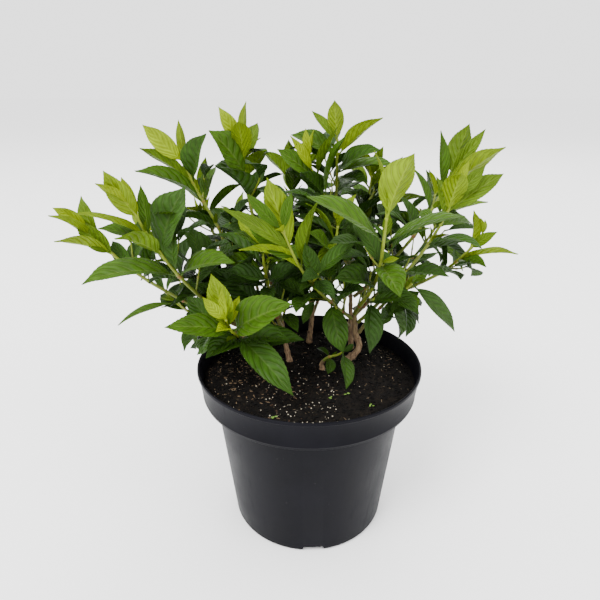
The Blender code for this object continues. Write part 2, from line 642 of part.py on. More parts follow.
class Space:
    """What is already there: each thing has an owner, a box and a tree of its faces."""

    def __init__(self):
        self.things = []

    def add(self, owner, corners, faces):
        self.things.append((owner, box_of(corners), BVHTree.FromPolygons(corners, faces)))

    def add_mesh(self, owner, mesh):
        corners = [vertex.co.copy() for vertex in mesh.vertices]
        self.add(owner, corners, [tuple(face.vertices) for face in mesh.polygons])

    def clear_for(self, owner, corners, faces):
        box = box_of(corners)
        tree = BVHTree.FromPolygons(corners, faces)
        for other, other_box, other_tree in self.things:
            if other != owner and boxes_meet(box, other_box) and tree.overlap(other_tree):
                return False
        return True


def node_shares(pairs, lowest):
    """Where the pairs of leaves sit on a twig: closer together towards its tip."""
    if pairs == 1:
        return [lowest]
    return [lowest + (1.0 - lowest) * (k / (pairs - 1)) ** NODE_CROWDING for k in range(pairs)]


def leaf_size(age):
    """Share of a full leaf: a little less at the foot, full in the middle, small at the growing tip."""
    return 0.88 + 0.24 * age - 0.44 * age ** 3


def plan_twig(pairs, lowest, leaf_length, turn, chance, tips):
    """The leaves of one twig before they are tried: opposite pairs, each square to the one below."""
    wishes = []
    for k, share in enumerate(node_shares(pairs, lowest)):
        age = k / max(pairs - 1, 1)
        for side in range(2):
            wishes.append({
                "node": k,
                "side": side,
                "share": min(share, LAST_NODE),
                "turn": turn + 90.0 * k + 180.0 * side + chance.uniform(-TURN_JITTER, TURN_JITTER),
                "opening": LOW_OPENING + (TIP_OPENING - LOW_OPENING) * age
                + chance.uniform(-OPENING_JITTER, OPENING_JITTER),
                "bend": LOW_BEND + (TIP_BEND - LOW_BEND) * age + chance.uniform(-BEND_JITTER, BEND_JITTER),
                "length": leaf_length * leaf_size(age) * chance.uniform(*LENGTH_SPREAD),
                "lift": SKY_LIFT * (1.0 - age) ** 1.5,
                "slender": LEAF_SLENDERNESS * (1.0 - TIP_SLIMMING * age) * chance.uniform(*BREADTH_SPREAD),
                "age": age,
                "tip": tips.get((k, side), (None, None, None, chance.uniform(-SHOW_SPREAD, SHOW_SPREAD))),
            })
    return wishes + lone_leaves(pairs, lowest, tips)


def lone_leaves(pairs, lowest, tips):
    """The drawn leaves that stand between two pairs, their pair number having a fraction."""
    wishes = []
    for (k, side), tip in tips.items():
        if k != int(k):
            age = k / (pairs - 1)
            wishes.append({
                "node": k,
                "side": side,
                "share": lowest + (1.0 - lowest) * age ** NODE_CROWDING,
                "bend": LOW_BEND + (TIP_BEND - LOW_BEND) * age,
                "lift": SKY_LIFT * (1.0 - age) ** 1.5,
                "slender": LEAF_SLENDERNESS,
                "age": age,
                "tip": tip,
            })
    return wishes


def twig_path(start, leave, tip):
    reach = (tip - start).length
    away = (tip - start).normalized()
    arrive = (away + UP * TWIG_RISE).normalized()
    return hermite(start, leave * reach, tip, arrive * reach, TWIG_POINTS)


def side_twig(path, share, turn, chance):
    """A short twig from the angle between a leaf and its twig."""
    axis = direction_along(path, share)
    across, front = frame_round(axis)
    angle = math.radians(turn + 90.0 + chance.choice((0.0, 180.0)))
    out = across * math.cos(angle) + front * math.sin(angle)
    opening = math.radians(SIDE_TWIG_OPENING)
    away = axis * math.cos(opening) + out * math.sin(opening)
    root = point_along(path, share)
    reach = SIDE_TWIG_LENGTH * (path[-1] - path[0]).length
    return twig_path(root, away, root + away * reach + UP * SIDE_TWIG_RISE)


def grow_foliage(limbs, space):
    """Every mass's twigs and leaves, by one seeded rule, each leaf kept clear of all but its own mass."""
    masses = {}
    for index, (name, row) in enumerate(FOLIAGE.items()):
        carrier, tip, pairs, lowest, leaf_length, turn, side_twigs = row
        line = limbs[carrier][0]
        leave = (line[-1] - line[-2]).normalized()
        path = twig_path(line[-1] + leave * TWIG_CLEARANCE, leave, place(tip))
        chance = random.Random(SEED + index)
        twigs = [(path, TWIG_FOOT_RADIUS, TWIG_TIP_RADIUS)]
        tips = LEAF_TIPS.get(name, {})
        wishes = [plan_twig(pairs, lowest, leaf_length * MM, turn, chance, tips)]
        for number in range(side_twigs):
            share = node_shares(pairs, lowest)[1 + number] + SIDE_TWIG_PLACE
            side_path = side_twig(path, share, turn, chance)
            twigs.append((side_path, TWIG_TIP_RADIUS, SIDE_TWIG_TIP_RADIUS))
            side_leaf = leaf_length * SIDE_LEAF_SHARE * MM
            wishes.append(plan_twig(1, SIDE_LEAF_PLACE, side_leaf, turn + SIDE_LEAF_TURN, chance, {}))
        masses[name] = {"twigs": twigs, "wishes": wishes, "leaves": []}
        for twig in twigs:
            space.add_mesh(name, twig_mesh(name, twig))
    for name, mass in masses.items():
        for twig, wishes in zip(mass["twigs"], mass["wishes"]):
            for wish in wishes:
                leaf = first_clear_leaf(name, twig[0], wish, space)
                if leaf:
                    mass["leaves"].append(leaf)
    return masses


def twig_mesh(name, twig):
    path, foot, end = twig
    radii = [foot + (end - foot) * i / (len(path) - 1) for i in range(len(path))]
    return limb_mesh(name, path, radii, None)


def first_clear_leaf(owner, path, wish, space):
    for turned, opened, shrunk in TRIES:
        leaf = make_leaf(path, wish, turned, opened, shrunk)
        leaf["name"] = (owner, wish["node"], wish["side"])
        corners, faces = leaf_blade(leaf, swell=GAP)
        if space.clear_for(owner, corners, faces):
            space.add(owner, *leaf_blade(leaf))
            return leaf
    return None


def keep_one_body(mesh):
    """Fills sealed hollows and drops loose scraps: only the largest shell of a fused mass stays."""
    shape = bmesh.new()
    shape.from_mesh(mesh)
    bmesh.ops.remove_doubles(shape, verts=shape.verts, dist=MERGE * 0.1)
    bmesh.ops.dissolve_degenerate(shape, dist=MERGE * 0.1, edges=shape.edges)
    waiting = set(shape.faces)
    shells = []
    while waiting:
        seed = waiting.pop()
        shell = [seed]
        queue = [seed]
        while queue:
            face = queue.pop()
            for edge in face.edges:
                for other in edge.link_faces:
                    if other in waiting:
                        waiting.remove(other)
                        shell.append(other)
                        queue.append(other)
        shells.append(shell)
    shells.sort(key=len, reverse=True)
    for shell in shells[1:]:
        bmesh.ops.delete(shape, geom=shell, context="FACES")
    loose = [vertex for vertex in shape.verts if not vertex.link_faces]
    bmesh.ops.delete(shape, geom=loose, context="VERTS")
    shape.to_mesh(mesh)
    shape.free()
    return len(shells) - 1


def fuse_mass(name, mass, folder):
    """One Boolean union joins a mass's leaves and side twigs to its stem."""
    parts = new_collection("parts_of_" + name)
    main = None
    for number, twig in enumerate(mass["twigs"]):
        mesh = twig_mesh(f"{name}_twig_{number}", twig)
        if number == 0:
            main = add_object(name, mesh, folder, "leaves")
        else:
            add_object(mesh.name, mesh, parts)
    for number, leaf in enumerate(mass["leaves"]):
        corners, faces = leaf_blade(leaf)
        mesh = bpy.data.meshes.new(f"{name}_leaf_{number}")
        mesh.from_pydata(corners, [], faces)
        add_object(mesh.name, mesh, parts)
    union = main.modifiers.new("fuse", "BOOLEAN")
    union.operation = "UNION"
    union.operand_type = "COLLECTION"
    union.collection = parts
    union.solver = "EXACT"
    union.use_self = True
    apply_modifiers(main)
    for item in list(parts.objects):
        bpy.data.objects.remove(item, do_unlink=True)
    bpy.data.collections.remove(parts)
    dropped = keep_one_body(main.data)
    main.data.materials.clear()
    main.data.materials.append(material_for(name, "leaves"))
    return main, dropped


def build():
    clear_scene()
    folder = new_collection(COLLECTION)
    cutters = new_collection("cutters")
    pot = build_pot(folder, cutters)
    soil = build_soil(folder)
    limbs = {}
    for name, (foot, above, foot_radius, tip_radius) in STEMS.items():
        limbs[name] = build_stem(name, foot, above, foot_radius, tip_radius, folder)
    onward = {row[0]: place(row[1]) for row in FOLIAGE.values()}
    for name, (carrier, share, tip) in BOUGHS.items():
        limbs[name] = build_bough(name, carrier, share, tip, onward[name] - place(tip), limbs, folder)
    space = Space()
    for name, (path, radii, mesh) in limbs.items():
        space.add_mesh(name, mesh)
    for item in (pot, soil):
        space.add_mesh(item.name, evaluated_mesh(item))
    masses = grow_foliage(limbs, space)
    for name, mass in masses.items():
        fused, dropped = fuse_mass(name, mass, folder)
        print(name, "leaves", len(mass["leaves"]), "faces", len(fused.data.polygons), "dropped", dropped)
    return masses


PLAN = build()
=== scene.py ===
# %% [markdown]
# A young panicle hydrangea in its black nursery pot.
#
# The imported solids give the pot, the soil, eight stems, their boughs and the masses of foliage, each
# leaf a few plain faces. This lesson dresses them: a turned pot with a real lip and a soft sheen, soil
# made of crumbs, bark with relief, and leaves with folded blades, toothed margins and side veins.
#
# We work in metres, +Z up. The front is -Y and the right is +X. Tables of places are in millimetres.

# %% Load the fixed frame
import math
import random

import bpy
import numpy as np
from mathutils import Matrix, Vector, noise
from mathutils.bvhtree import BVHTree


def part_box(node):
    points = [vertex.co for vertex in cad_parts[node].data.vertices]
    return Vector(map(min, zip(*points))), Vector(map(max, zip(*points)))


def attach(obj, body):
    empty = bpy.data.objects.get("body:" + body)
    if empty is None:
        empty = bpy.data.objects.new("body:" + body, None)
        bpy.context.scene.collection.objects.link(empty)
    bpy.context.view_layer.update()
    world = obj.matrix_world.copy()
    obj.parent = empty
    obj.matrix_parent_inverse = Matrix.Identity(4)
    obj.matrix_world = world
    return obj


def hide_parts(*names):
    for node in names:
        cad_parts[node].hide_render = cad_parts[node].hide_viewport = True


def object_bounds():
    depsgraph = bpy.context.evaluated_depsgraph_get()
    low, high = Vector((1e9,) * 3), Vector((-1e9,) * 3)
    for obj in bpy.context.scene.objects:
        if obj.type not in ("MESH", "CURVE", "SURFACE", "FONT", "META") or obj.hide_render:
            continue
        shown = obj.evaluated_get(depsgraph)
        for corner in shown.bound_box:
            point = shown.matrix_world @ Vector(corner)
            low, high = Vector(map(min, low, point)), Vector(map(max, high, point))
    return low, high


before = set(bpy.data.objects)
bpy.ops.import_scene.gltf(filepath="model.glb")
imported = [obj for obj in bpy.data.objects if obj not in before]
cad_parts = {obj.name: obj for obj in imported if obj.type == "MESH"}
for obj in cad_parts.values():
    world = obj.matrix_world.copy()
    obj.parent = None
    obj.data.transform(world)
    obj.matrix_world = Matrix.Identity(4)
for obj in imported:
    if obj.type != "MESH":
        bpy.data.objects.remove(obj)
cad_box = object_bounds()
NODES = sorted(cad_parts)
MASSES = [name for name in NODES if name.startswith("leaves_")]
MM = 0.001
UP = Vector((0.0, 0.0, 1.0))
RIGHT = Vector((1.0, 0.0, 0.0))
FRONT = Vector((0.0, -1.0, 0.0))
print("solids in the frame:", len(NODES), "of which foliage:", len(MASSES))

# %% [markdown]
# The camera comes first, because every later choice is judged through it. A picture of a round pot tells
# where the camera stood: the rim's ellipse gives the tilt, and the way the sides close towards the foot
# gives the distance. It stood close, half a metre away and looking down by 22 degrees, which is why the
# near leaves look so large.

# %% Camera
CAMERA_PLACE = Vector((0.0, -0.473, 0.4289))
CAMERA_DOWN = math.radians(21.83)
CAMERA_SWING = math.radians(1.106)
VIEW_ANGLE = math.radians(59.69)


def add_camera():
    data = bpy.data.cameras.new("camera")
    data.angle = VIEW_ANGLE
    camera = bpy.data.objects.new("camera", data)
    bpy.context.scene.collection.objects.link(camera)
    camera.location = CAMERA_PLACE
    camera.rotation_euler = (math.radians(90.0) - CAMERA_DOWN, 0.0, CAMERA_SWING)
    bpy.context.scene.camera = camera
    return camera


add_camera()
print("camera height", CAMERA_PLACE.z, "m, view angle", round(math.degrees(VIEW_ANGLE), 1), "degrees")

# %% [markdown]
# A studio for a cut-out product picture is a white room: light comes from everywhere, with one large
# soft source a little stronger than the rest, so that leaves have a bright and a shaded side. The world
# lights all of it, one large lamp above and to the left gives the shape, a weaker one on the right fills
# its shadows, and one behind draws pale edges on the leaves and the black pot.

# %% Floor and light
WORLD_COLOUR = (1.0, 1.0, 1.0, 1.0)
WORLD_STRENGTH = 2.3
FLOOR_SIZE = 60.0
FLOOR_COLOUR = (0.97, 0.97, 0.97, 1.0)
FLOOR_ROUGHNESS = 0.9
LAMP_AIM = Vector((0.0, 0.0, 0.25))
# Each lamp: its place, breadth and power
LAMPS = {
    "key": ((-1.6, -2.0, 3.6), 2.0, 230.0),
    "fill": ((2.6, -1.6, 2.4), 2.0, 40.0),
    "back": ((0.4, 2.8, 3.0), 2.0, 60.0),
}


def select_only(item):
    bpy.ops.object.select_all(action="DESELECT")
    item.select_set(True)
    bpy.context.view_layer.objects.active = item


def add_lamp(name, place, size, power):
    data = bpy.data.lights.new(name, "AREA")
    data.shape = "DISK"
    data.size = size
    data.energy = power
    lamp = bpy.data.objects.new(name, data)
    bpy.context.scene.collection.objects.link(lamp)
    lamp.location = place
    aim = LAMP_AIM - Vector(place)
    lamp.rotation_euler = aim.to_track_quat("-Z", "Y").to_euler()
    return lamp


def plain_material(name, colour, roughness):
    material = bpy.data.materials.new(name)
    material.use_nodes = True
    shader = material.node_tree.nodes["Principled BSDF"]
    shader.inputs["Base Color"].default_value = colour
    shader.inputs["Roughness"].default_value = roughness
    return material


def add_floor():
    bpy.ops.object.select_all(action="DESELECT")
    bpy.ops.mesh.primitive_plane_add(size=FLOOR_SIZE, location=(0.0, 0.0, 0.0))
    floor = bpy.context.active_object
    floor.name = "floor"
    floor.data.materials.append(plain_material("floor_white", FLOOR_COLOUR, FLOOR_ROUGHNESS))
    return floor


def light_the_world():
    world = bpy.data.worlds.new("studio")
    world.use_nodes = True
    world.node_tree.nodes["Background"].inputs["Color"].default_value = WORLD_COLOUR
    world.node_tree.nodes["Background"].inputs["Strength"].default_value = WORLD_STRENGTH
    bpy.context.scene.world = world


add_floor()
light_the_world()
for lamp_name, (lamp_place, lamp_size, lamp_power) in LAMPS.items():
    add_lamp(lamp_name, lamp_place, lamp_size, lamp_power)
print("lamps:", ", ".join(LAMPS))

# %% [markdown]
# Every finish here is a small graph of nodes round one Principled shader. The helper below wires them:
# it keeps the graph, adds nodes by type, and sets or links each input by its name, so a material reads
# like a recipe.

# %% A helper that wires materials
# The sockets of a Mix node that is set to colour, by number
MIX_FACTOR = 0
MIX_FIRST = 6
MIX_SECOND = 7
MIX_RESULT = 2
# Noise stays between these nearly everywhere, so a spread from here uses all of a finish's range
NOISE_RANGE = (0.3, 0.7)


class Recipe:
    """One material's node graph, with a Principled shader at its end."""

    def __init__(self, name, specular):
        self.material = bpy.data.materials.new(name)
        self.material.use_nodes = True
        self.tree = self.material.node_tree
        self.shader = self.tree.nodes["Principled BSDF"]
        self.shader.inputs["Specular IOR Level"].default_value = specular

    def put(self, node, key, value):
        """Sets an input to a value, or links it where the value is another node's output."""
        if isinstance(value, bpy.types.NodeSocket):
            self.tree.links.new(value, node.inputs[key])
        else:
            node.inputs[key].default_value = value

    def add(self, kind, settings=None, **inputs):
        node = self.tree.nodes.new(kind)
        for key, value in (settings or {}).items():
            setattr(node, key, value)
        for key, value in inputs.items():
            self.put(node, key.replace("_", " "), value)
        return node

    def coordinates(self, output="Object", scale=(1.0, 1.0, 1.0)):
        source = self.add("ShaderNodeTexCoord")
        mapping = self.add("ShaderNodeMapping", Vector=source.outputs[output], Scale=scale)
        return mapping.outputs["Vector"]

    def noise(self, vector, scale, detail=3.0, roughness=0.55):
        node = self.add("ShaderNodeTexNoise", Vector=vector, Scale=scale, Detail=detail, Roughness=roughness)
        return node.outputs["Fac"]

    def steps(self, factor, stops):
        """A ramp through several colours, each with its place on the factor."""
        ramp = self.add("ShaderNodeValToRGB", Fac=factor)
        ramp.color_ramp.interpolation = "EASE"
        while len(ramp.color_ramp.elements) < len(stops):
            ramp.color_ramp.elements.new(0.5)
        for element, (place_on, colour) in zip(ramp.color_ramp.elements, stops):
            element.position = place_on
            element.color = (*colour, 1.0)
        return ramp.outputs["Color"]

    def blend(self, factor, first, second):
        """Two colours mixed, each of them three numbers or another node's output."""
        node = self.add("ShaderNodeMix", {"data_type": "RGBA"})
        self.put(node, MIX_FACTOR, factor)
        for number, colour in ((MIX_FIRST, first), (MIX_SECOND, second)):
            self.put(node, number, (*colour, 1.0) if isinstance(colour, tuple) else colour)
        return node.outputs[MIX_RESULT]

    def maths(self, operation, first, second=0.0, third=0.0):
        node = self.add("ShaderNodeMath", {"operation": operation})
        for number, value in enumerate((first, second, third)):
            self.put(node, number, value)
        return node.outputs[0]

    def spread(self, factor, low, high, out_low=0.0, out_high=1.0):
        """A factor's values from low to high, spread over another range and held at its ends."""
        node = self.add("ShaderNodeMapRange", Value=factor, From_Min=low, From_Max=high, To_Min=out_low,
                        To_Max=out_high)
        return node.outputs["Result"]

    def relief(self, height, strength, distance, under=None):
        """A bump, its full height in metres, that can lie over an earlier one."""
        node = self.add("ShaderNodeBump", Height=height, Strength=strength, Distance=distance)
        if under is not None:
            self.put(node, "Normal", under)
        return node.outputs["Normal"]

    def finish(self, colour, roughness, normal):
        self.put(self.shader, "Base Color", colour)
        self.put(self.shader, "Roughness", roughness)
        self.put(self.shader, "Normal", normal)
        return self.material


def tint(colour, share):
    """A darker or lighter version of a colour."""
    return tuple(min(value * share, 1.0) for value in colour)


print("material helper ready")

# %% [markdown]
# Pot plastic. A nursery pot is recycled polypropylene, black with a little blue in it. Its sheen is soft
# and uneven, dust sits on it as pale specks, and handling leaves faint vertical scuffs. We make the scuffs
# from noise that is stretched along Z, and the specks from a second noise that is cut off high.

# %% Pot plastic
PLASTIC = (0.0017, 0.0017, 0.0031)
PLASTIC_WORN = (0.0036, 0.0035, 0.0056)
DUST = (0.060, 0.058, 0.056)
PLASTIC_SPECULAR = 0.06
PLASTIC_CLOUD_SCALE = 22.0
PLASTIC_CLOUD_RANGE = (0.35, 0.7)
SCUFF_SCALE = 240.0
SCUFF_STRETCH = 0.12
SCUFF_RANGE = (0.58, 0.78)
SPECK_SCALE = 420.0
SPECK_RANGE = (0.77, 0.83)
MOULD_GRAIN_SCALE = 1800.0
MOST_WORN = 0.5
SHINE = (0.36, 0.48)
WORN_SHINE = 0.16
PLASTIC_RELIEF = 0.0004


def pot_plastic():
    recipe = Recipe("pot_plastic", PLASTIC_SPECULAR)
    place_on = recipe.coordinates()
    stretched = recipe.coordinates(scale=(1.0, 1.0, SCUFF_STRETCH))
    cloud = recipe.noise(place_on, PLASTIC_CLOUD_SCALE, detail=4.0)
    scuff = recipe.noise(stretched, SCUFF_SCALE, detail=2.0)
    speck = recipe.noise(place_on, SPECK_SCALE, detail=1.0)
    grain = recipe.noise(place_on, MOULD_GRAIN_SCALE, detail=2.0)
    worn = recipe.spread(scuff, *SCUFF_RANGE, 0.0, MOST_WORN)
    dusty = recipe.spread(speck, *SPECK_RANGE, 0.0, MOST_WORN)
    colour = recipe.blend(recipe.spread(cloud, *PLASTIC_CLOUD_RANGE), PLASTIC, PLASTIC_WORN)
    colour = recipe.blend(worn, colour, PLASTIC_WORN)
    colour = recipe.blend(dusty, colour, DUST)
    shine = recipe.spread(cloud, *NOISE_RANGE, *SHINE)
    shine = recipe.maths("ADD", shine, recipe.maths("MULTIPLY", worn, WORN_SHINE))
    normal = recipe.relief(grain, 0.10, PLASTIC_RELIEF)
    normal = recipe.relief(scuff, 0.12, PLASTIC_RELIEF, normal)
    return recipe.finish(colour, shine, normal)


POT_PLASTIC = pot_plastic()
print("pot plastic made")

# %% [markdown]
# The pot is turned. In a workshop we would draw half of its section and spin it, and Blender can do just
# that: a single point is extruded along the section, inside from the middle of the floor up to the lip
# and down the outside, and the spin tool sweeps it round. The sizes come from the frame's own solid,
# so the dressed pot stands where the plain one does. Bevelled turns are short steps in the section.

# %% Turn the pot
POT_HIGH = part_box("pot")[1]
POT_HEIGHT = POT_HIGH.z
RIM_RADIUS = POT_HIGH.x
COLLAR_HEIGHT = 0.031
COLLAR_TAPER = 0.0049
COLLAR_FOOT = POT_HEIGHT - COLLAR_HEIGHT
COLLAR_FOOT_RADIUS = RIM_RADIUS - COLLAR_TAPER
COLLAR_FOOT_ROUND = 0.001
SHOULDER_DROP = 0.0035
SHOULDER_STEP = 0.017
SHOULDER_ROUND = 0.002
BODY_TOP = COLLAR_FOOT - SHOULDER_DROP
BODY_TOP_RADIUS = RIM_RADIUS - SHOULDER_STEP
BASE_RADIUS = 0.0802
BASE_ROUND = 0.004
WALL = 0.0022
FLOOR_THICKNESS = 0.003
FLOOR_ROUND = 0.003
LIP_HEIGHT = 0.003
LIP_STEP = 0.0012
LIP_ROUND = 0.001
LIP_BEVEL = 0.0003
DRAFT = 0.0001
# The bead above the collar's foot: how far out and how high each turn of it is, in mm
BEAD = ((0.5, 4.2), (0.8, 3.6), (0.7, 2.8), (0.2, 2.2))
SPIN_STEPS = 128
MERGE_DISTANCE = 0.00002
SMOOTH_ANGLE = math.radians(38.0)


def arc(middle, radius, start, end, count):
    """Points on a round stretch of the section, from one angle to another in degrees."""
    points = []
    for index in range(count):
        angle = math.radians(start + (end - start) * index / (count - 1))
        points.append((middle[0] + radius * math.cos(angle), middle[1] + radius * math.sin(angle)))
    return points


def pot_section():
    """The pot's wall in section, from the middle of its floor up, over the lip, and down the outside."""
    floor_edge = BASE_RADIUS - WALL - FLOOR_ROUND
    under_lip = POT_HEIGHT - LIP_HEIGHT
    neck = RIM_RADIUS - LIP_STEP
    inside = [(0.0, FLOOR_THICKNESS), (floor_edge, FLOOR_THICKNESS)]
    inside += arc((floor_edge, FLOOR_THICKNESS + FLOOR_ROUND), FLOOR_ROUND, -90.0, 0.0, 5)[1:]
    inside += [(BODY_TOP_RADIUS - WALL, BODY_TOP + WALL), (COLLAR_FOOT_RADIUS - WALL, COLLAR_FOOT + WALL)]
    inside += [(neck - WALL, under_lip - LIP_STEP), (RIM_RADIUS - WALL, POT_HEIGHT - LIP_ROUND)]
    rim = arc((RIM_RADIUS - LIP_ROUND - DRAFT, POT_HEIGHT - LIP_ROUND), LIP_ROUND, 150.0, 0.0, 7)
    outside = [(RIM_RADIUS, under_lip + LIP_BEVEL), (RIM_RADIUS - LIP_BEVEL, under_lip)]
    outside += [(neck, under_lip - LIP_STEP * 0.7), (neck - DRAFT, under_lip - LIP_STEP)]
    outside += [(COLLAR_FOOT_RADIUS + out * MM, COLLAR_FOOT + up * MM) for out, up in BEAD]
    outside += arc((COLLAR_FOOT_RADIUS - COLLAR_FOOT_ROUND, COLLAR_FOOT + COLLAR_FOOT_ROUND),
                   COLLAR_FOOT_ROUND, 0.0, -60.0, 5)
    outside += arc((BODY_TOP_RADIUS + SHOULDER_ROUND, BODY_TOP - SHOULDER_ROUND * 0.5),
                   SHOULDER_ROUND, 100.0, 175.0, 5)
    foot = arc((BASE_RADIUS - BASE_ROUND, BASE_ROUND), BASE_ROUND, 5.0, -90.0, 8)
    return inside + rim + outside + foot + [(0.0, 0.0)]


def spin_section(name, section, steps):
    """Draws the section by extruding one point along it, then spins it round the Z axis."""
    bpy.ops.object.select_all(action="DESELECT")
    bpy.ops.mesh.primitive_plane_add(size=MM, location=(0.0, 0.0, 0.0))
    item = bpy.context.active_object
    item.name = name
    item.data.name = name
    bpy.ops.object.mode_set(mode="EDIT")
    bpy.ops.mesh.merge(type="CENTER")
    bpy.ops.transform.translate(value=(section[0][0], 0.0, section[0][1]))
    for before, after in zip(section, section[1:]):
        step = (after[0] - before[0], 0.0, after[1] - before[1])
        bpy.ops.mesh.extrude_region_move(TRANSFORM_OT_translate={"value": step})
    bpy.ops.mesh.select_all(action="SELECT")
    bpy.ops.mesh.spin(steps=steps, angle=math.tau, center=(0.0, 0.0, 0.0), axis=(0.0, 0.0, 1.0))
    bpy.ops.mesh.select_all(action="SELECT")
    bpy.ops.mesh.remove_doubles(threshold=MERGE_DISTANCE)
    bpy.ops.mesh.normals_make_consistent(inside=False)
    bpy.ops.object.mode_set(mode="OBJECT")
    return item


pot = spin_section("nursery_pot", pot_section(), SPIN_STEPS)
print("pot:", len(pot.data.polygons), "faces, rim", round(2.0 * RIM_RADIUS / MM), "mm across")

# %% [markdown]
# Four drain slots are cut where the wall meets the floor plate. Each cutter is a cube that is sized in
# edit mode and then drawn narrower at its top. It is set against the foot, taken away from the pot by a
# Boolean, and deleted.

# %% Cut the drain slots
SLOT_COUNT = 4
SLOT_DEPTH = 0.008
SLOT_FOOT_WIDTH = 0.028
SLOT_TOP_WIDTH = 0.0185
SLOT_HEIGHT = 0.006
FIRST_SLOT = -86.0


def slot_cutter(heading):
    bpy.ops.object.select_all(action="DESELECT")
    bpy.ops.mesh.primitive_cube_add(size=1.0, location=(0.0, 0.0, 0.0))
    cutter = bpy.context.active_object
    bpy.ops.object.mode_set(mode="EDIT")
    bpy.ops.transform.resize(value=(2.0 * SLOT_DEPTH, SLOT_FOOT_WIDTH, 2.0 * SLOT_HEIGHT))
    bpy.ops.object.mode_set(mode="OBJECT")
    for vertex in cutter.data.vertices:
        if vertex.co.z > 0.0:
            vertex.co.y *= SLOT_TOP_WIDTH / SLOT_FOOT_WIDTH
    cutter.location = (BASE_RADIUS * math.cos(heading), BASE_RADIUS * math.sin(heading), 0.0)
    cutter.rotation_euler = (0.0, 0.0, heading)
    return cutter


def cut_slots(item):
    for index in range(SLOT_COUNT):
        cutter = slot_cutter(math.radians(FIRST_SLOT + 360.0 * index / SLOT_COUNT))
        select_only(item)
        cut = item.modifiers.new("slot", "BOOLEAN")
        cut.operation = "DIFFERENCE"
        cut.solver = "EXACT"
        cut.object = cutter
        bpy.ops.object.modifier_apply(modifier="slot")
        bpy.data.objects.remove(cutter, do_unlink=True)


def dress(item, materials, replaced):
    """The lines that each finished piece shares: its materials, its body, and hiding the solids it replaces.
    """
    item.data.materials.clear()
    for material in materials:
        item.data.materials.append(material)
    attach(item, "root")
    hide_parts(*replaced)
    return item


cut_slots(pot)
select_only(pot)
bpy.ops.object.shade_smooth_by_angle(angle=SMOOTH_ANGLE)
dress(pot, [POT_PLASTIC], ["pot"])
print("pot with slots:", len(pot.data.polygons), "faces")

# %% [markdown]
# Joined meshes. Crumbs, leaves and twigs are too many to model one by one, so each kind is worked out
# as arrays of corners and faces and joined into one mesh. The class below gathers them: each shape adds
# its corners, its faces, a material number for each face, and a UV pair for each corner.

# %% A gatherer for joined meshes


class Gathered:
    """Corners and faces of many small shapes that end up in one mesh."""

    def __init__(self):
        self.corners = []
        self.faces = []
        self.slots = []
        self.spots = []

    def add(self, corners, faces, slots, spots=None):
        start = len(self.corners)
        self.corners.extend(corners)
        self.faces.extend(tuple(start + corner for corner in face) for face in faces)
        self.slots.extend(slots)
        self.spots.extend(spots if spots is not None else [(0.0, 0.0)] * len(corners))

    def mesh(self, name, sharp=None):
        mesh = bpy.data.meshes.new(name)
        mesh.from_pydata([tuple(corner) for corner in self.corners], [], self.faces)
        mesh.polygons.foreach_set("material_index", self.slots)
        corner_of = np.zeros(len(mesh.loops), np.int32)
        mesh.loops.foreach_get("vertex_index", corner_of)
        layer = mesh.uv_layers.new(name="along")
        layer.data.foreach_set("uv", np.array(self.spots, np.float32)[corner_of].reshape(-1))
        mesh.shade_smooth()
        if sharp is not None:
            mesh.set_sharp_from_angle(angle=math.radians(sharp))
        mesh.update()
        return mesh

    def piece(self, name, sharp=None):
        item = bpy.data.objects.new(name, self.mesh(name, sharp))
        bpy.context.scene.collection.objects.link(item)
        return item


print("gatherer ready")

# %% [markdown]
# Eight stems stand in the soil. Six are shoots of a few years, a thin one leans to the front left, and a
# stub beside the right stem carries a low sucker. Each stem's places are given in millimetres: its foot,
# two or three places above it, and its radius at the foot and at the fork. The table comes before the soil,
# which is mounded round each foot.

# %% Table of stems
STEMS = {
    "stem_right": ((38, 18), ((52, 20, 177), (48, 26, 195), (47, 28, 212)), 3.5, 2.8),
    "stem_right_back": ((47, 52), ((45, 51, 200), (44, 50, 238)), 2.6, 1.9),
    "stem_left": ((-69, 36), ((-71, 38, 182), (-75, 38, 204)), 3.2, 2.4),
    "stem_front_left": ((-47, 11), ((-55, 9, 172), (-60, 3, 184)), 1.9, 1.6),
    "stem_middle": ((-21, 21), ((-25, 22, 182), (-29, 24, 208)), 2.8, 2.2),
    "stem_back": ((0, 68), ((3, 72, 188), (4, 74, 216)), 2.8, 2.1),
    "stem_back_left": ((-42, 62), ((-48, 66, 182), (-54, 70, 206)), 2.5, 1.9),
    "stem_stub": ((14, 5), ((13, 5, 166), (15, 4, 170.5)), 2.6, 2.0),
}
print("stems:", len(STEMS))

# %% [markdown]
# Soil. Potting compost is peat and composted bark: almost black, with brown fibres, tan slivers of bark
# and white grains of perlite. Its bed is a turned shape that fills the pot, and its top is a fine
# grid of rings that noise lifts and lowers by a few millimetres, lower towards the wall and mounded
# round the stems' feet.

# %% Soil finish
PEAT_DARK = (0.0016, 0.0013, 0.0011)
PEAT = (0.0055, 0.0042, 0.0032)
PEAT_BROWN = (0.023, 0.0155, 0.0095)
CRUMB_COLOURS = {
    "crumb_black": (0.0024, 0.002, 0.0018),
    "crumb_brown": (0.012, 0.0085, 0.0056),
    "bark_sliver": (0.16, 0.108, 0.064),
    "bark_red": (0.042, 0.024, 0.015),
    "perlite": (0.64, 0.57, 0.44),
    "fibre": (0.17, 0.125, 0.078),
    "seedling": (0.15, 0.27, 0.05),
}
SOIL_SPECULAR = 0.12
PEAT_STOPS = ((0.40, PEAT_DARK), (0.56, PEAT), (0.70, PEAT_BROWN))
PEAT_CLOUD_SCALE = 90.0
PEAT_GRAIN_SCALE = 900.0
PEAT_ROUGHNESS = 0.95
PEAT_RELIEF = 0.0015
CRUMB_GRAIN_SCALE = 700.0
CRUMB_TONES = (0.55, 1.35)
CRUMB_ROUGHNESS = 0.85
CRUMB_RELIEF = 0.0006


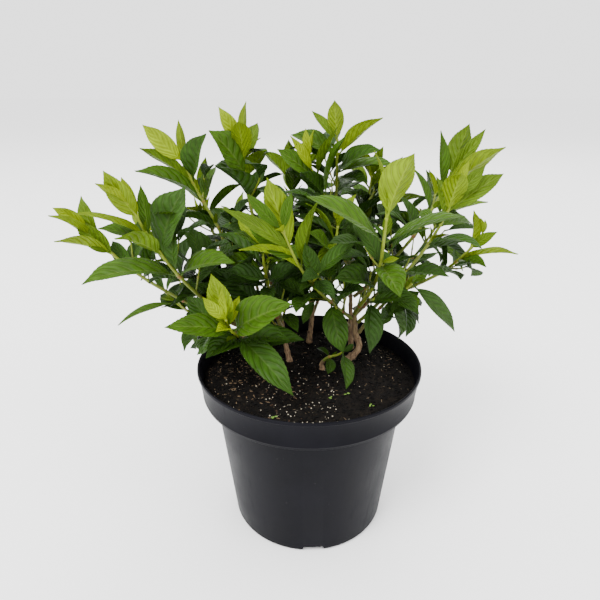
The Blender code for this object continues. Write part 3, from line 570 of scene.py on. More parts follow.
def peat():
    recipe = Recipe("potting_soil", SOIL_SPECULAR)
    place_on = recipe.coordinates()
    cloud = recipe.noise(place_on, PEAT_CLOUD_SCALE, detail=6.0, roughness=0.7)
    grain = recipe.noise(place_on, PEAT_GRAIN_SCALE, detail=3.0, roughness=0.7)
    both = recipe.maths("MULTIPLY_ADD", grain, 0.5, recipe.maths("MULTIPLY", cloud, 0.55))
    colour = recipe.steps(both, PEAT_STOPS)
    return recipe.finish(colour, PEAT_ROUGHNESS, recipe.relief(grain, 0.8, PEAT_RELIEF))


def crumb_finish(name, colour):
    recipe = Recipe(name, SOIL_SPECULAR)
    grain = recipe.noise(recipe.coordinates(), CRUMB_GRAIN_SCALE)
    dark, light = (tint(colour, tone) for tone in CRUMB_TONES)
    shade = recipe.blend(recipe.spread(grain, *NOISE_RANGE), dark, light)
    return recipe.finish(shade, CRUMB_ROUGHNESS, recipe.relief(grain, 0.4, CRUMB_RELIEF))


SOIL = peat()
CRUMBS = [crumb_finish(name, colour) for name, colour in CRUMB_COLOURS.items()]
print("soil finishes:", 1 + len(CRUMBS))

# %% [markdown]
# The bed is modelled by hand: a circle is filled, its face is inset ring by ring for a fine top, the
# outer edge is extruded down and in along the pot's inner wall, and the bottom is filled. Noise then
# lifts the top's corners. Insetting keeps every ring round, which a square grid would not.

# %% Soil bed
SOIL_LEVEL = 0.160
SOIL_GAP = 0.0004
BED_SIDES = 160
BED_RINGS = 44
SOIL_RELIEF = 0.0032
SOIL_LUMP_SCALE = 55.0
WALL_DIP = 0.0016
DIP_FROM = 0.085
DIP_WIDTH = 0.02
MOUND_HEIGHT = 0.0016
MOUND_WIDTH = 0.009
STEM_FEET = [row[0] for row in STEMS.values()]


def collar_radius(height):
    """The pot's outer radius at a height on its collar."""
    share = (height - COLLAR_FOOT) / (POT_HEIGHT - COLLAR_FOOT)
    return COLLAR_FOOT_RADIUS + share * (RIM_RADIUS - COLLAR_FOOT_RADIUS)


SOIL_RADIUS = collar_radius(SOIL_LEVEL) - WALL - SOIL_GAP


def soil_height(x, y):
    """Lift of the soil's top at a place: crumbly noise, a dip by the wall, a mound round each stem."""
    rough = noise.fractal(Vector((x * SOIL_LUMP_SCALE, y * SOIL_LUMP_SCALE, 3.0)), 0.9, 2.2, 5)
    lift = SOIL_RELIEF * (rough * 0.6 - 0.25)
    lift -= WALL_DIP * max(0.0, (math.hypot(x, y) - DIP_FROM) / DIP_WIDTH) ** 2
    for foot_x, foot_y in STEM_FEET:
        apart = math.hypot(x - foot_x * MM, y - foot_y * MM)
        lift += MOUND_HEIGHT * math.exp(-(apart / MOUND_WIDTH) ** 2)
    return lift


def soil_bed():
    bpy.ops.object.select_all(action="DESELECT")
    bpy.ops.mesh.primitive_circle_add(vertices=BED_SIDES, radius=SOIL_RADIUS, fill_type="NGON",
                                      location=(0.0, 0.0, SOIL_LEVEL))
    bed = bpy.context.active_object
    bed.name = "soil_bed"
    bpy.ops.object.transform_apply(location=True, rotation=False, scale=False)
    bpy.ops.object.mode_set(mode="EDIT")
    bpy.ops.mesh.select_all(action="SELECT")
    for ring in range(BED_RINGS):
        bpy.ops.mesh.inset(thickness=SOIL_RADIUS / (BED_RINGS + 1), depth=0.0)
    bpy.ops.mesh.poke()
    bpy.ops.object.mode_set(mode="OBJECT")
    return bed


def hang_sides(bed):
    """Extrudes the edge of the bed down the inside of the pot and closes it with a floor."""
    clear = WALL + SOIL_GAP
    section = [(COLLAR_FOOT_RADIUS - clear, COLLAR_FOOT + clear),
               (BODY_TOP_RADIUS - clear, BODY_TOP + clear),
               (BASE_RADIUS - clear - FLOOR_ROUND, FLOOR_THICKNESS + SOIL_GAP + FLOOR_ROUND),
               (BASE_RADIUS - clear - 2.0 * FLOOR_ROUND, FLOOR_THICKNESS + SOIL_GAP)]
    radius = SOIL_RADIUS
    height = SOIL_LEVEL
    select_only(bed)
    bpy.ops.object.mode_set(mode="EDIT")
    bpy.ops.mesh.select_mode(type="EDGE")
    bpy.ops.mesh.select_all(action="DESELECT")
    bpy.ops.mesh.select_non_manifold()
    for next_radius, next_height in section:
        bpy.ops.mesh.extrude_region_move(TRANSFORM_OT_translate={"value": (0.0, 0.0, next_height - height)})
        share = next_radius / radius
        bpy.ops.transform.resize(value=(share, share, 1.0), center_override=(0.0, 0.0, next_height))
        radius = next_radius
        height = next_height
    bpy.ops.mesh.fill()
    bpy.ops.mesh.select_all(action="SELECT")
    bpy.ops.mesh.normals_make_consistent(inside=False)
    bpy.ops.object.mode_set(mode="OBJECT")


soil = soil_bed()
hang_sides(soil)
for vertex in soil.data.vertices:
    if vertex.co.z > SOIL_LEVEL - 0.1 * MM:
        vertex.co.z += soil_height(vertex.co.x, vertex.co.y)
select_only(soil)
bpy.ops.object.shade_smooth()
dress(soil, [SOIL], ["soil"])
print("soil bed:", len(soil.data.polygons), "faces")

# %% [markdown]
# Crumbs, fibres and bark. Each kind is one small closed shape with a few faces: a lump is a box of eight
# corners pushed about, a sliver is a long flat one. Thousands are strewn by a seeded rule, partly sunk in
# the bed, denser where the picture shows them, and joined into one mesh with a material for each kind.

# %% Litter on the soil
LITTER_SEED = 88
BOX_FACES = [(0, 3, 2, 1), (4, 5, 6, 7), (0, 1, 5, 4), (1, 2, 6, 5), (2, 3, 7, 6), (3, 0, 4, 7)]
BOX_SIGNS = [(x, y, z) for z in (-1, 1) for x, y in ((-1, -1), (1, -1), (1, 1), (-1, 1))]
LUMP_LEANS = (("X", 0.5), ("Y", 0.3))
LEAST_CORNER = 0.55
LITTER_LIFT = 0.18
LITTER_MARGIN = 0.004
# Each kind: its finish, how many, shortest and longest in mm, breadth and thickness as shares of the
# length, and the place in mm round which half of it lies, with how far it spreads
LITTER = (
    ("crumb_black", 2600, (0.8, 3.2), 0.75, 0.60, None),
    ("crumb_brown", 1500, (0.6, 2.3), 0.70, 0.55, None),
    ("bark_red", 110, (1.4, 4.2), 0.40, 0.22, None),
    ("bark_sliver", 240, (1.2, 4.8), 0.26, 0.16, (-62, -14, 26)),
    ("fibre", 300, (1.6, 6.0), 0.08, 0.07, (-70, 10, 24)),
    ("fibre", 90, (1.6, 5.0), 0.10, 0.08, (72, 30, 16)),
    ("perlite", 260, (0.4, 1.4), 0.80, 0.70, (-4, -78, 34)),
)
# Painted shade: past this place to the right most pale grains are left out, so the bed looks darker where
# the stems' shade falls
PAINTED_SHADE_SIDE = 0.028
SHADE_LEFT_OUT = 0.75
PALE_KINDS = ("bark_sliver", "bark_red", "perlite", "crumb_brown")
SEEDLINGS = ((22, -50), (36, -46), (-30, -84), (58, -62))
SEED_LEAVES = 3
SEED_LEAF = (0.003, 0.0014, 0.0006)
SEED_LEAF_REACH = 0.0016
SEED_LEAF_LIFT = 0.0012


def lump(spot, size, chance):
    """A lump or sliver at a place, turned at random and leaning a little."""
    turned = Matrix.Rotation(chance.uniform(0.0, math.tau), 3, "Z")
    for axis, most in LUMP_LEANS:
        turned = turned @ Matrix.Rotation(chance.uniform(-most, most), 3, axis)
    corners = []
    for signs in BOX_SIGNS:
        corner = Vector([signs[i] * size[i] * 0.5 * chance.uniform(LEAST_CORNER, 1.0) for i in range(3)])
        corners.append(spot + turned @ corner)
    return corners


def litter_place(focus, reach, chance):
    """A place on the bed: anywhere, or as often near the kind's own place."""
    while True:
        if focus and chance.random() < 0.5:
            x, y = (chance.gauss(middle, focus[2]) * MM for middle in focus[:2])
        else:
            x, y = (chance.uniform(-reach, reach) for axis in range(2))
        if math.hypot(x, y) < reach:
            return x, y


def strew(kind, count, lengths, breadth, thickness, focus, chance, litter):
    number = list(CRUMB_COLOURS).index(kind)
    reach = collar_radius(SOIL_LEVEL) - WALL - LITTER_MARGIN
    for piece in range(count):
        x, y = litter_place(focus, reach, chance)
        # Painted shade: pale grains are mostly left out on the right, where the stems' shade falls
        if x > PAINTED_SHADE_SIDE and kind in PALE_KINDS and chance.random() < SHADE_LEFT_OUT:
            continue
        length = chance.uniform(*lengths) * MM
        size = (length, length * breadth, length * thickness)
        lift = SOIL_LEVEL + soil_height(x, y) + size[2] * LITTER_LIFT
        litter.add(lump(Vector((x, y, lift)), size, chance), BOX_FACES, [number] * len(BOX_FACES))


def sow(x, y, chance, litter):
    """A seedling: a few tiny leaves that open from one point."""
    number = list(CRUMB_COLOURS).index("seedling")
    root = Vector((x * MM, y * MM, SOIL_LEVEL + soil_height(x * MM, y * MM) + SEED_LEAF_LIFT))
    for leaf in range(SEED_LEAVES):
        heading = chance.uniform(0.0, math.tau)
        out = Vector((math.cos(heading), math.sin(heading), chance.uniform(0.3, 0.9))) * SEED_LEAF_REACH
        litter.add(lump(root + out, SEED_LEAF, chance), BOX_FACES, [number] * len(BOX_FACES))


litter = Gathered()
litter_chance = random.Random(LITTER_SEED)
for row in LITTER:
    strew(*row, litter_chance, litter)
for seedling in SEEDLINGS:
    sow(*seedling, litter_chance, litter)
soil_litter = litter.piece("soil_litter", sharp=40.0)
for finish in CRUMBS:
    soil_litter.data.materials.append(finish)
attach(soil_litter, "root")
print("litter:", len(litter.faces), "faces")

# %% [markdown]
# Boughs are last year's growth. Each leaves a stem (its carrier) at a share of its height and ends
# where its foliage starts.

# %% Table of boughs
BOUGHS = {
    "bough_front_right": ("stem_right", 1.00, (59, 0, 249)),
    "bough_front_centre": ("stem_right", 0.88, (25, 12, 229)),
    "bough_right": ("stem_right", 0.80, (93, 0, 270)),
    "bough_low_right": ("stem_right", 0.62, (76, 10, 234)),
    "bough_top_centre": ("stem_right_back", 1.00, (35, 46, 286)),
    "bough_top_right": ("stem_right_back", 0.88, (56, 72, 290)),
    "bough_upper_right": ("stem_right_back", 0.80, (95, 30, 286)),
    "bough_far_right": ("stem_right_back", 0.66, (112, 25, 249)),
    "bough_back_far_right": ("stem_right_back", 0.56, (104, 76, 248)),
    "bough_inner_right": ("stem_right_back", 0.48, (22, 20, 240)),
    "bough_top_left": ("stem_middle", 1.00, (-53, 32, 300)),
    "bough_centre": ("stem_middle", 0.84, (-38, 6, 240)),
    "bough_top": ("stem_back", 1.00, (24, 72, 305)),
    "bough_back_right": ("stem_back", 0.86, (54, 106, 258)),
    "bough_back_centre": ("stem_back", 0.78, (-14, 108, 262)),
    "bough_back_low": ("stem_back", 0.62, (20, 118, 222)),
    "bough_upper_left": ("stem_left", 1.00, (-83, 35, 276)),
    "bough_left": ("stem_left", 0.86, (-102, 0, 238)),
    "bough_far_left": ("stem_left", 0.76, (-144, 20, 239)),
    "bough_low_left": ("stem_left", 0.60, (-102, 30, 199)),
    "bough_back_left": ("stem_back_left", 1.00, (-92, 80, 258)),
    "bough_back_far_left": ("stem_back_left", 0.82, (-118, 64, 228)),
    "bough_back_low_left": ("stem_back_left", 0.64, (-64, 102, 226)),
}
print("boughs:", len(BOUGHS))

# %% [markdown]
# Curves. Four small helpers do all the routing: a Hermite curve between two places with a pull at each
# end, a smooth curve through several places, and a point or a direction part of the way along.

# %% Curve helpers


def place(point):
    return Vector(point) * MM


def hermite(start, start_pull, end, end_pull, count):
    """Points evenly spread in parameter along a smooth curve between two places."""
    points = []
    for index in range(count):
        t = index / (count - 1)
        a = 2 * t ** 3 - 3 * t ** 2 + 1
        b = t ** 3 - 2 * t ** 2 + t
        c = -2 * t ** 3 + 3 * t ** 2
        d = t ** 3 - t ** 2
        points.append(start * a + start_pull * b + end * c + end_pull * d)
    return points


def point_along(points, share):
    place_on = share * (len(points) - 1)
    index = min(int(place_on), len(points) - 2)
    rest = place_on - index
    return points[index].lerp(points[index + 1], rest)


def direction_along(points, share):
    index = min(int(share * (len(points) - 1)), len(points) - 2)
    return (points[index + 1] - points[index]).normalized()


def smooth_through(points, steps):
    """A curve through a few places, with the same number of points between each two."""
    result = []
    for index in range(len(points) - 1):
        before = points[max(index - 1, 0)]
        start = points[index]
        end = points[index + 1]
        after = points[min(index + 2, len(points) - 1)]
        piece = hermite(start, (end - before) * 0.5, end, (after - start) * 0.5, steps + 1)
        result.extend(piece[:-1])
    result.append(points[-1].copy())
    return result


print("curve helpers ready")

# %% [markdown]
# Limbs. A stem rises straight for 2 mm from the soil and then bends through its places. A bough leaves
# its carrier at 50 degrees and turns to its tip. The solid of each bough says how far from its
# carrier's axis its foot was cut back, so we read that from the frame: the nearest of its corners,
# measured along the direction in which it leaves.

# %% Where the limbs run
CONTACT = 0.0003
FOOT_RISE = 0.002
BOUGH_OPENING = 50.0
BOUGH_PULL = 0.8
BOUGH_POINTS = 6
BOUGH_LEAN = 0.45
BOUGH_ONWARD = 0.5
BOUGH_RADII = (2.0, 1.55)


def corners_of(node):
    return [vertex.co.copy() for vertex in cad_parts[node].data.vertices]


def stem_line(name, steps):
    foot, above = STEMS[name][:2]
    start = Vector((foot[0] * MM, foot[1] * MM, SOIL_LEVEL + CONTACT))
    return [start] + smooth_through([start + UP * FOOT_RISE] + [place(point) for point in above], steps)


def bough_line(name, onward, lines, count):
    carrier, share, tip = BOUGHS[name]
    path = lines[carrier]
    start = point_along(path, share)
    end = place(tip)
    reach = (end - start).length
    away = (end - start).normalized()
    axis = direction_along(path, share)
    if share < 1.0:
        sideways = (away - axis * away.dot(axis)).normalized()
        opening = math.radians(BOUGH_OPENING)
        leave = axis * math.cos(opening) + sideways * math.sin(opening)
    else:
        leave = (axis * BOUGH_LEAN + away).normalized()
    arrive = (onward.normalized() * BOUGH_ONWARD + away).normalized()
    first = start + leave * min((corner - start).dot(leave) for corner in corners_of(name))
    return hermite(first, leave * reach * BOUGH_PULL, end, arrive * reach * BOUGH_PULL, count)


# %% [markdown]
# Foliage comes in masses. Each has a shoot that starts at the tip of one limb and ends at a growing tip
# given in millimetres, with pairs of leaves along it, and some have a side twig.

# %% Table of foliage
# The limb, the growing tip, pairs of leaves, how far up the lowest pair is, length of a full leaf in mm,
# the way the lowest pair faces in degrees from the right towards the front, and side twigs
FOLIAGE = {
    "leaves_front_left": ("stem_front_left", (-72, -62, 245), 4, 0.45, 70, 150, 0),
    "leaves_front_right": ("bough_front_right", (62, -55, 333), 4, 0.04, 70, 100, 0),
    "leaves_front_centre": ("bough_front_centre", (-22, -56, 322), 5, 0.06, 60, 0, 0),
    "leaves_left": ("bough_left", (-150, -45, 343), 5, 0.33, 64, 0, 1),
    "leaves_far_left": ("bough_far_left", (-206, 2, 308), 4, 0.42, 54, 60, 0),
    "leaves_upper_left": ("bough_upper_left", (-120, 35, 365), 4, 0.28, 60, 30, 1),
    "leaves_top_left": ("bough_top_left", (-62, 22, 380), 4, 0.40, 56, 0, 1),
    "leaves_top_centre": ("bough_top_centre", (-1, 46, 364), 4, 0.26, 58, 0, 0),
    "leaves_top": ("bough_top", (26, 54, 385), 4, 0.30, 62, 110, 0),
    "leaves_upper_right": ("bough_upper_right", (131, 30, 354), 4, 0.16, 58, 0, 1),
    "leaves_right": ("bough_right", (129, 0, 338), 4, 0.40, 60, 40, 0),
    "leaves_far_right": ("bough_far_right", (157, -6, 307), 4, 0.22, 54, 60, 0),
    "leaves_low_right": ("bough_low_right", (98, 0, 257), 3, 0.10, 58, 20, 0),
    "leaves_top_right": ("bough_top_right", (63, 72, 348), 4, 0.15, 58, 40, 1),
    "leaves_centre": ("bough_centre", (-44, -10, 296), 5, 0.15, 62, 20, 1),
    "leaves_inner_right": ("bough_inner_right", (26, 4, 312), 4, 0.22, 54, 45, 0),
    "leaves_low_left": ("bough_low_left", (-148, 26, 237), 4, 0.08, 56, 60, 0),
    "leaves_back_left": ("bough_back_left", (-122, 108, 322), 5, 0.15, 62, 10, 1),
    "leaves_back_far_left": ("bough_back_far_left", (-168, 78, 286), 5, 0.15, 60, 50, 0),
    "leaves_back_centre": ("bough_back_centre", (-22, 128, 342), 6, 0.12, 64, 0, 1),
    "leaves_back_right": ("bough_back_right", (80, 132, 324), 5, 0.15, 62, 30, 1),
    "leaves_back_low": ("bough_back_low", (30, 150, 272), 5, 0.15, 60, 60, 1),
    "leaves_back_far_right": ("bough_back_far_right", (148, 92, 314), 5, 0.15, 60, 80, 1),
    "leaves_back_low_left": ("bough_back_low_left", (-84, 142, 280), 5, 0.15, 58, 35, 1),
    "leaves_sucker": ("stem_stub", (34, -2, 184), 2, 0.35, 34, 100, 0),
}
print("masses of foliage:", len(FOLIAGE))

# %% [markdown]
# Wood. Young hydrangea bark is tan, with thin lifted strips and rings at the old leaf nodes. Higher up it
# turns brown-green, and this year's wood is lime green with red-brown nodes. One tube function makes all
# of it: rings of corners along a curve, carried round its bends without twisting, each ring swollen at the
# nodes and roughened where there is bark. Its UV pair isn't a picture's place: the first number says how
# young the wood is, and the second how near a node is, and the material reads both.

# %% A tube for wood
START_DOME = 0.1
END_DOME = 0.5


def carried_frames(points):
    """A direction and two square to it at each point, turned as little as the bends allow."""
    frames = []
    across = None
    for index in range(len(points)):
        before = points[max(index - 1, 0)]
        after = points[min(index + 1, len(points) - 1)]
        heading = (after - before).normalized()
        if across is None:
            across = (RIGHT - heading * RIGHT.dot(heading)).normalized()
        else:
            across = (across - heading * heading.dot(across)).normalized()
        frames.append((heading, across, heading.cross(across)))
    return frames


def tube(points, radii, sides, relief=None):
    """Corners and faces of a closed tube, its ends closed by fans that are slightly domed."""
    corners = []
    faces = []
    frames = carried_frames(points)
    for index, (point, radius, (heading, across, other)) in enumerate(zip(points, radii, frames)):
        for side in range(sides):
            angle = math.tau * side / sides
            out = across * math.cos(angle) + other * math.sin(angle)
            size = radius
            if relief:
                size *= relief(point + out * radius, index)
            corners.append(point + out * size)
    for ring in range(len(points) - 1):
        for side in range(sides):
            first = ring * sides + side
            second = ring * sides + (side + 1) % sides
            faces.append((first, second, second + sides, first + sides))
    start = len(corners)
    corners.append(points[0] - frames[0][0] * radii[0] * START_DOME)
    corners.append(points[-1] + frames[-1][0] * radii[-1] * END_DOME)
    last = (len(points) - 1) * sides
    for side in range(sides):
        after = (side + 1) % sides
        faces.append((start, after, side))
        faces.append((start + 1, last + side, last + after))
    return corners, faces


def lengths_along(points):
    total = [0.0]
    for before, after in zip(points, points[1:]):
        total.append(total[-1] + (after - before).length)
    return total


def bump_at(distance, width):
    return math.exp(-(distance / width) ** 2)


print("tube helper ready")

# %% [markdown]
# The wood's finish reads those two numbers. A ramp turns youth into colour, from tan bark through
# brown and green to lime, and dark fissures fade out as the wood gets younger. Nodes turn red-brown, but
# only on young wood.

# %% Bark and green wood
STEM_BARK = (0.3, 0.195, 0.108)
STEM_BARK_DARK = (0.115, 0.07, 0.04)
YOUNG_BARK = (0.13, 0.11, 0.035)
GREEN_WOOD = (0.09, 0.128, 0.009)
LIME_WOOD = (0.175, 0.235, 0.01)
NODE_RED = (0.17, 0.048, 0.02)
WOOD_STOPS = ((0.10, STEM_BARK), (0.32, YOUNG_BARK), (0.58, GREEN_WOOD), (0.92, LIME_WOOD))
WOOD_SPECULAR = 0.3
WOOD_STRETCH = 0.22
STRIP_SCALE = 620.0
WOOD_CLOUD_SCALE = 120.0
YOUTH_CLOUD = 0.16
WOOD_RELIEF = 0.0008


def wood_finish(name, rough, relief):
    recipe = Recipe(name, WOOD_SPECULAR)
    apart = recipe.add("ShaderNodeSeparateXYZ", Vector=recipe.coordinates("UV"))
    place_on = recipe.coordinates(scale=(1.0, 1.0, WOOD_STRETCH))
    strips = recipe.noise(place_on, STRIP_SCALE, detail=4.0, roughness=0.65)
    cloud = recipe.maths("SUBTRACT", recipe.noise(place_on, WOOD_CLOUD_SCALE), 0.5)
    youth = recipe.maths("MULTIPLY_ADD", cloud, YOUTH_CLOUD, apart.outputs["X"])
    colour = recipe.steps(youth, WOOD_STOPS)
    aged = recipe.spread(youth, 0.22, 0.40, 1.0, 0.25)
    fissures = recipe.maths("MULTIPLY", aged, recipe.spread(strips, 0.42, 0.62))
    colour = recipe.blend(fissures, colour, STEM_BARK_DARK)
    near = recipe.spread(apart.outputs["Y"], 0.25, 0.85, 0.0, 0.85)
    ring = recipe.maths("MULTIPLY", near, recipe.spread(youth, 0.2, 0.4))
    colour = recipe.blend(ring, colour, NODE_RED)
    return recipe.finish(colour, rough, recipe.relief(strips, relief, WOOD_RELIEF))


STEM_FINISH = wood_finish("bark", 0.85, 0.7)
GREEN_FINISH = wood_finish("green_wood", 0.55, 0.15)
print("wood finishes made")

# %% [markdown]
# The limbs of the plant, dressed. The stems have 24 sides and a ring every millimetre or so, so that
# fissures and node rings are real relief. The foot of the right stem is gnarled: noise of a larger scale
# lifts its sides. Boughs are thinner and smoother.

# %% Stems and boughs
STEM_STEPS = 40
BOUGH_RINGS = 64
NODE_SWELL = 0.22
NODE_WIDTH = 0.0016
BARK_STRIPS = (900.0, 900.0, 130.0)
BARK_LUMPS = 190.0
BARK_GRAIN = 1500.0
FLARE_REACH = 4.0
# Each form: sides, the first node and the space between two, relief of fissures and of lumps, how much
# the foot is flared, and how much younger the tip is than the foot
STEM_FORM = {"sides": 24, "nodes": (0.012, 0.021), "fissure": 0.10, "gnarl": 0.07, "flare": 0.45,
             "younger": 0.22}
GNARLED_FORM = {**STEM_FORM, "gnarl": 0.20}
BOUGH_FORM = {"sides": 16, "nodes": (0.016, 0.024), "fissure": 0.03, "gnarl": 0.03, "flare": 0.0,
              "younger": 0.34}
STEM_YOUTH = 0.04
BOUGH_YOUTH = 0.34
LEADING_YOUTH = 0.5
# The leading boughs, whose wood is younger than the rest, and how thick they are beside a plain bough
THICKNESS = {"bough_front_right": 1.25, "bough_front_centre": 1.05, "bough_left": 1.05, "bough_right": 1.0,
             "bough_upper_left": 1.0, "bough_top_left": 1.0, "bough_top": 1.0}


def node_nearness(along, first, spacing, total):
    """1 at each node of a limb and 0 between them."""
    if along < first * 0.5 or along > total - spacing * 0.3:
        return 0.0
    apart = abs((along - first + spacing * 0.5) % spacing - spacing * 0.5)
    return bump_at(apart, NODE_WIDTH)


def bark_relief(nearness, fissure, gnarl):
    """Share of the radius at a place on the bark."""
    def share(spot, ring):
        strips = noise.noise(Vector([spot[i] * BARK_STRIPS[i] for i in range(3)]))
        lumps = noise.noise(spot * BARK_LUMPS)
        grain = noise.noise(spot * BARK_GRAIN)
        return 1.0 + fissure * (strips * 0.8 + grain * 0.35) + gnarl * lumps + NODE_SWELL * nearness[ring]
    return share


def dress_limb(points, radii, form, foot_youth, wood):
    """A stem or bough as a tube: tapered between two radii in mm, with relief for its bark and nodes."""
    foot_radius, tip_radius = (radius * MM for radius in radii)
    along = lengths_along(points)
    shares = [length / along[-1] for length in along]
    sizes = []
    for share in shares:
        flare = 1.0 + form["flare"] * max(0.0, 1.0 - share * FLARE_REACH) ** 2
        sizes.append((foot_radius + (tip_radius - foot_radius) * share) * flare)
    near = [node_nearness(length, *form["nodes"], along[-1]) for length in along]
    corners, faces = tube(points, sizes, form["sides"], bark_relief(near, form["fissure"], form["gnarl"]))
    youth = [foot_youth + form["younger"] * share for share in shares]
    spots = [(youth[ring], near[ring]) for ring in range(len(points)) for side in range(form["sides"])]
    wood.add(corners, faces, [0] * len(faces), spots + [(youth[0], 0.0), (youth[-1], 0.0)])


onward = {row[0]: place(row[1]) for row in FOLIAGE.values()}
LINES = {}
bark = Gathered()
green_wood = Gathered()
for stem_name, stem_row in STEMS.items():
    LINES[stem_name] = stem_line(stem_name, 2)
    form = GNARLED_FORM if stem_name == "stem_right" else STEM_FORM
    dress_limb(stem_line(stem_name, STEM_STEPS), stem_row[2:], form, STEM_YOUTH, bark)
for bough_name, bough_row in BOUGHS.items():
    rest = onward[bough_name] - place(bough_row[2])
    LINES[bough_name] = bough_line(bough_name, rest, LINES, BOUGH_POINTS)
    radii = [radius * THICKNESS.get(bough_name, 1.0) for radius in BOUGH_RADII]
    foot_youth = LEADING_YOUTH if bough_name in THICKNESS else BOUGH_YOUTH
    dress_limb(bough_line(bough_name, rest, LINES, BOUGH_RINGS), radii, BOUGH_FORM, foot_youth, green_wood)
dress(bark.piece("stem_bark"), [STEM_FINISH], list(STEMS))
dress(green_wood.piece("green_boughs"), [GREEN_FINISH], list(BOUGHS))
print("stems:", len(bark.faces), "faces, boughs:", len(green_wood.faces), "faces")

# %% [markdown]
# How a shoot grows. Hydrangea leaves stand in opposite pairs, and each pair is turned square to the one
# below it. The pairs come closer together and open less towards the growing tip. The rule below draws
# each twig's pairs from a seeded source, so that it gives the same plant each time: it is the rule that the
# solids were grown by, and with the same seed it puts every leaf where its solid is.

# %% Growth rule
SEED = 1407
TWIG_RADII = (1.75, 1.05)
SIDE_TWIG_RADII = (1.15, 0.85)
CAD_TWIG_RADII = (1.7, 1.1)
CAD_SIDE_RADII = (1.1, 0.88)
TWIG_POINTS = 5
TWIG_CLEARANCE = 0.00052
NODE_CROWDING = 0.80
LOW_OPENING = 74.0
TIP_OPENING = 24.0
LOW_BEND = 46.0
TIP_BEND = 16.0
LEAF_SLENDERNESS = 0.42
PETIOLE_SHARE = 0.10
PETIOLE_RADIUS = 0.00045
PETIOLE_START = 0.00025
BLADE_SECTIONS = (0.26, 0.66)
RIB_THICKNESS = 0.020
LEAST_THICKNESS = 0.0006
LEAF_FOLD = 24.0
SHOW_SPREAD = 0.7
TURN_JITTER = 9.0
OPENING_JITTER = 7.0
BEND_JITTER = 8.0
LENGTH_SPREAD = (0.92, 1.06)
BREADTH_SPREAD = (0.92, 1.08)
TIP_SLIMMING = 0.18
SKY_LIFT = 1.1
LAST_NODE = 0.995
TRY_SHARE = 0.4
TWIG_RISE = 0.5
SIDE_TWIG_LENGTH = 0.26
SIDE_TWIG_RISE = 0.002
SIDE_TWIG_OPENING = 46.0
SIDE_LEAF_SHARE = 0.66
SIDE_LEAF_PLACE = 0.9
SIDE_LEAF_TURN = 45.0
SIDE_TWIG_PLACE = 0.02
TRIES = ((0, 0, 1.0), (12, 0, 1.0), (-12, 0, 1.0), (0, 14, 1.0), (0, -14, 1.0), (24, 8, 0.9), (-24, 8, 0.9),
         (16, -22, 0.85), (-16, -22, 0.85), (0, 28, 0.8), (34, 0, 0.75), (-34, 0, 0.75), (0, 0, 0.6))
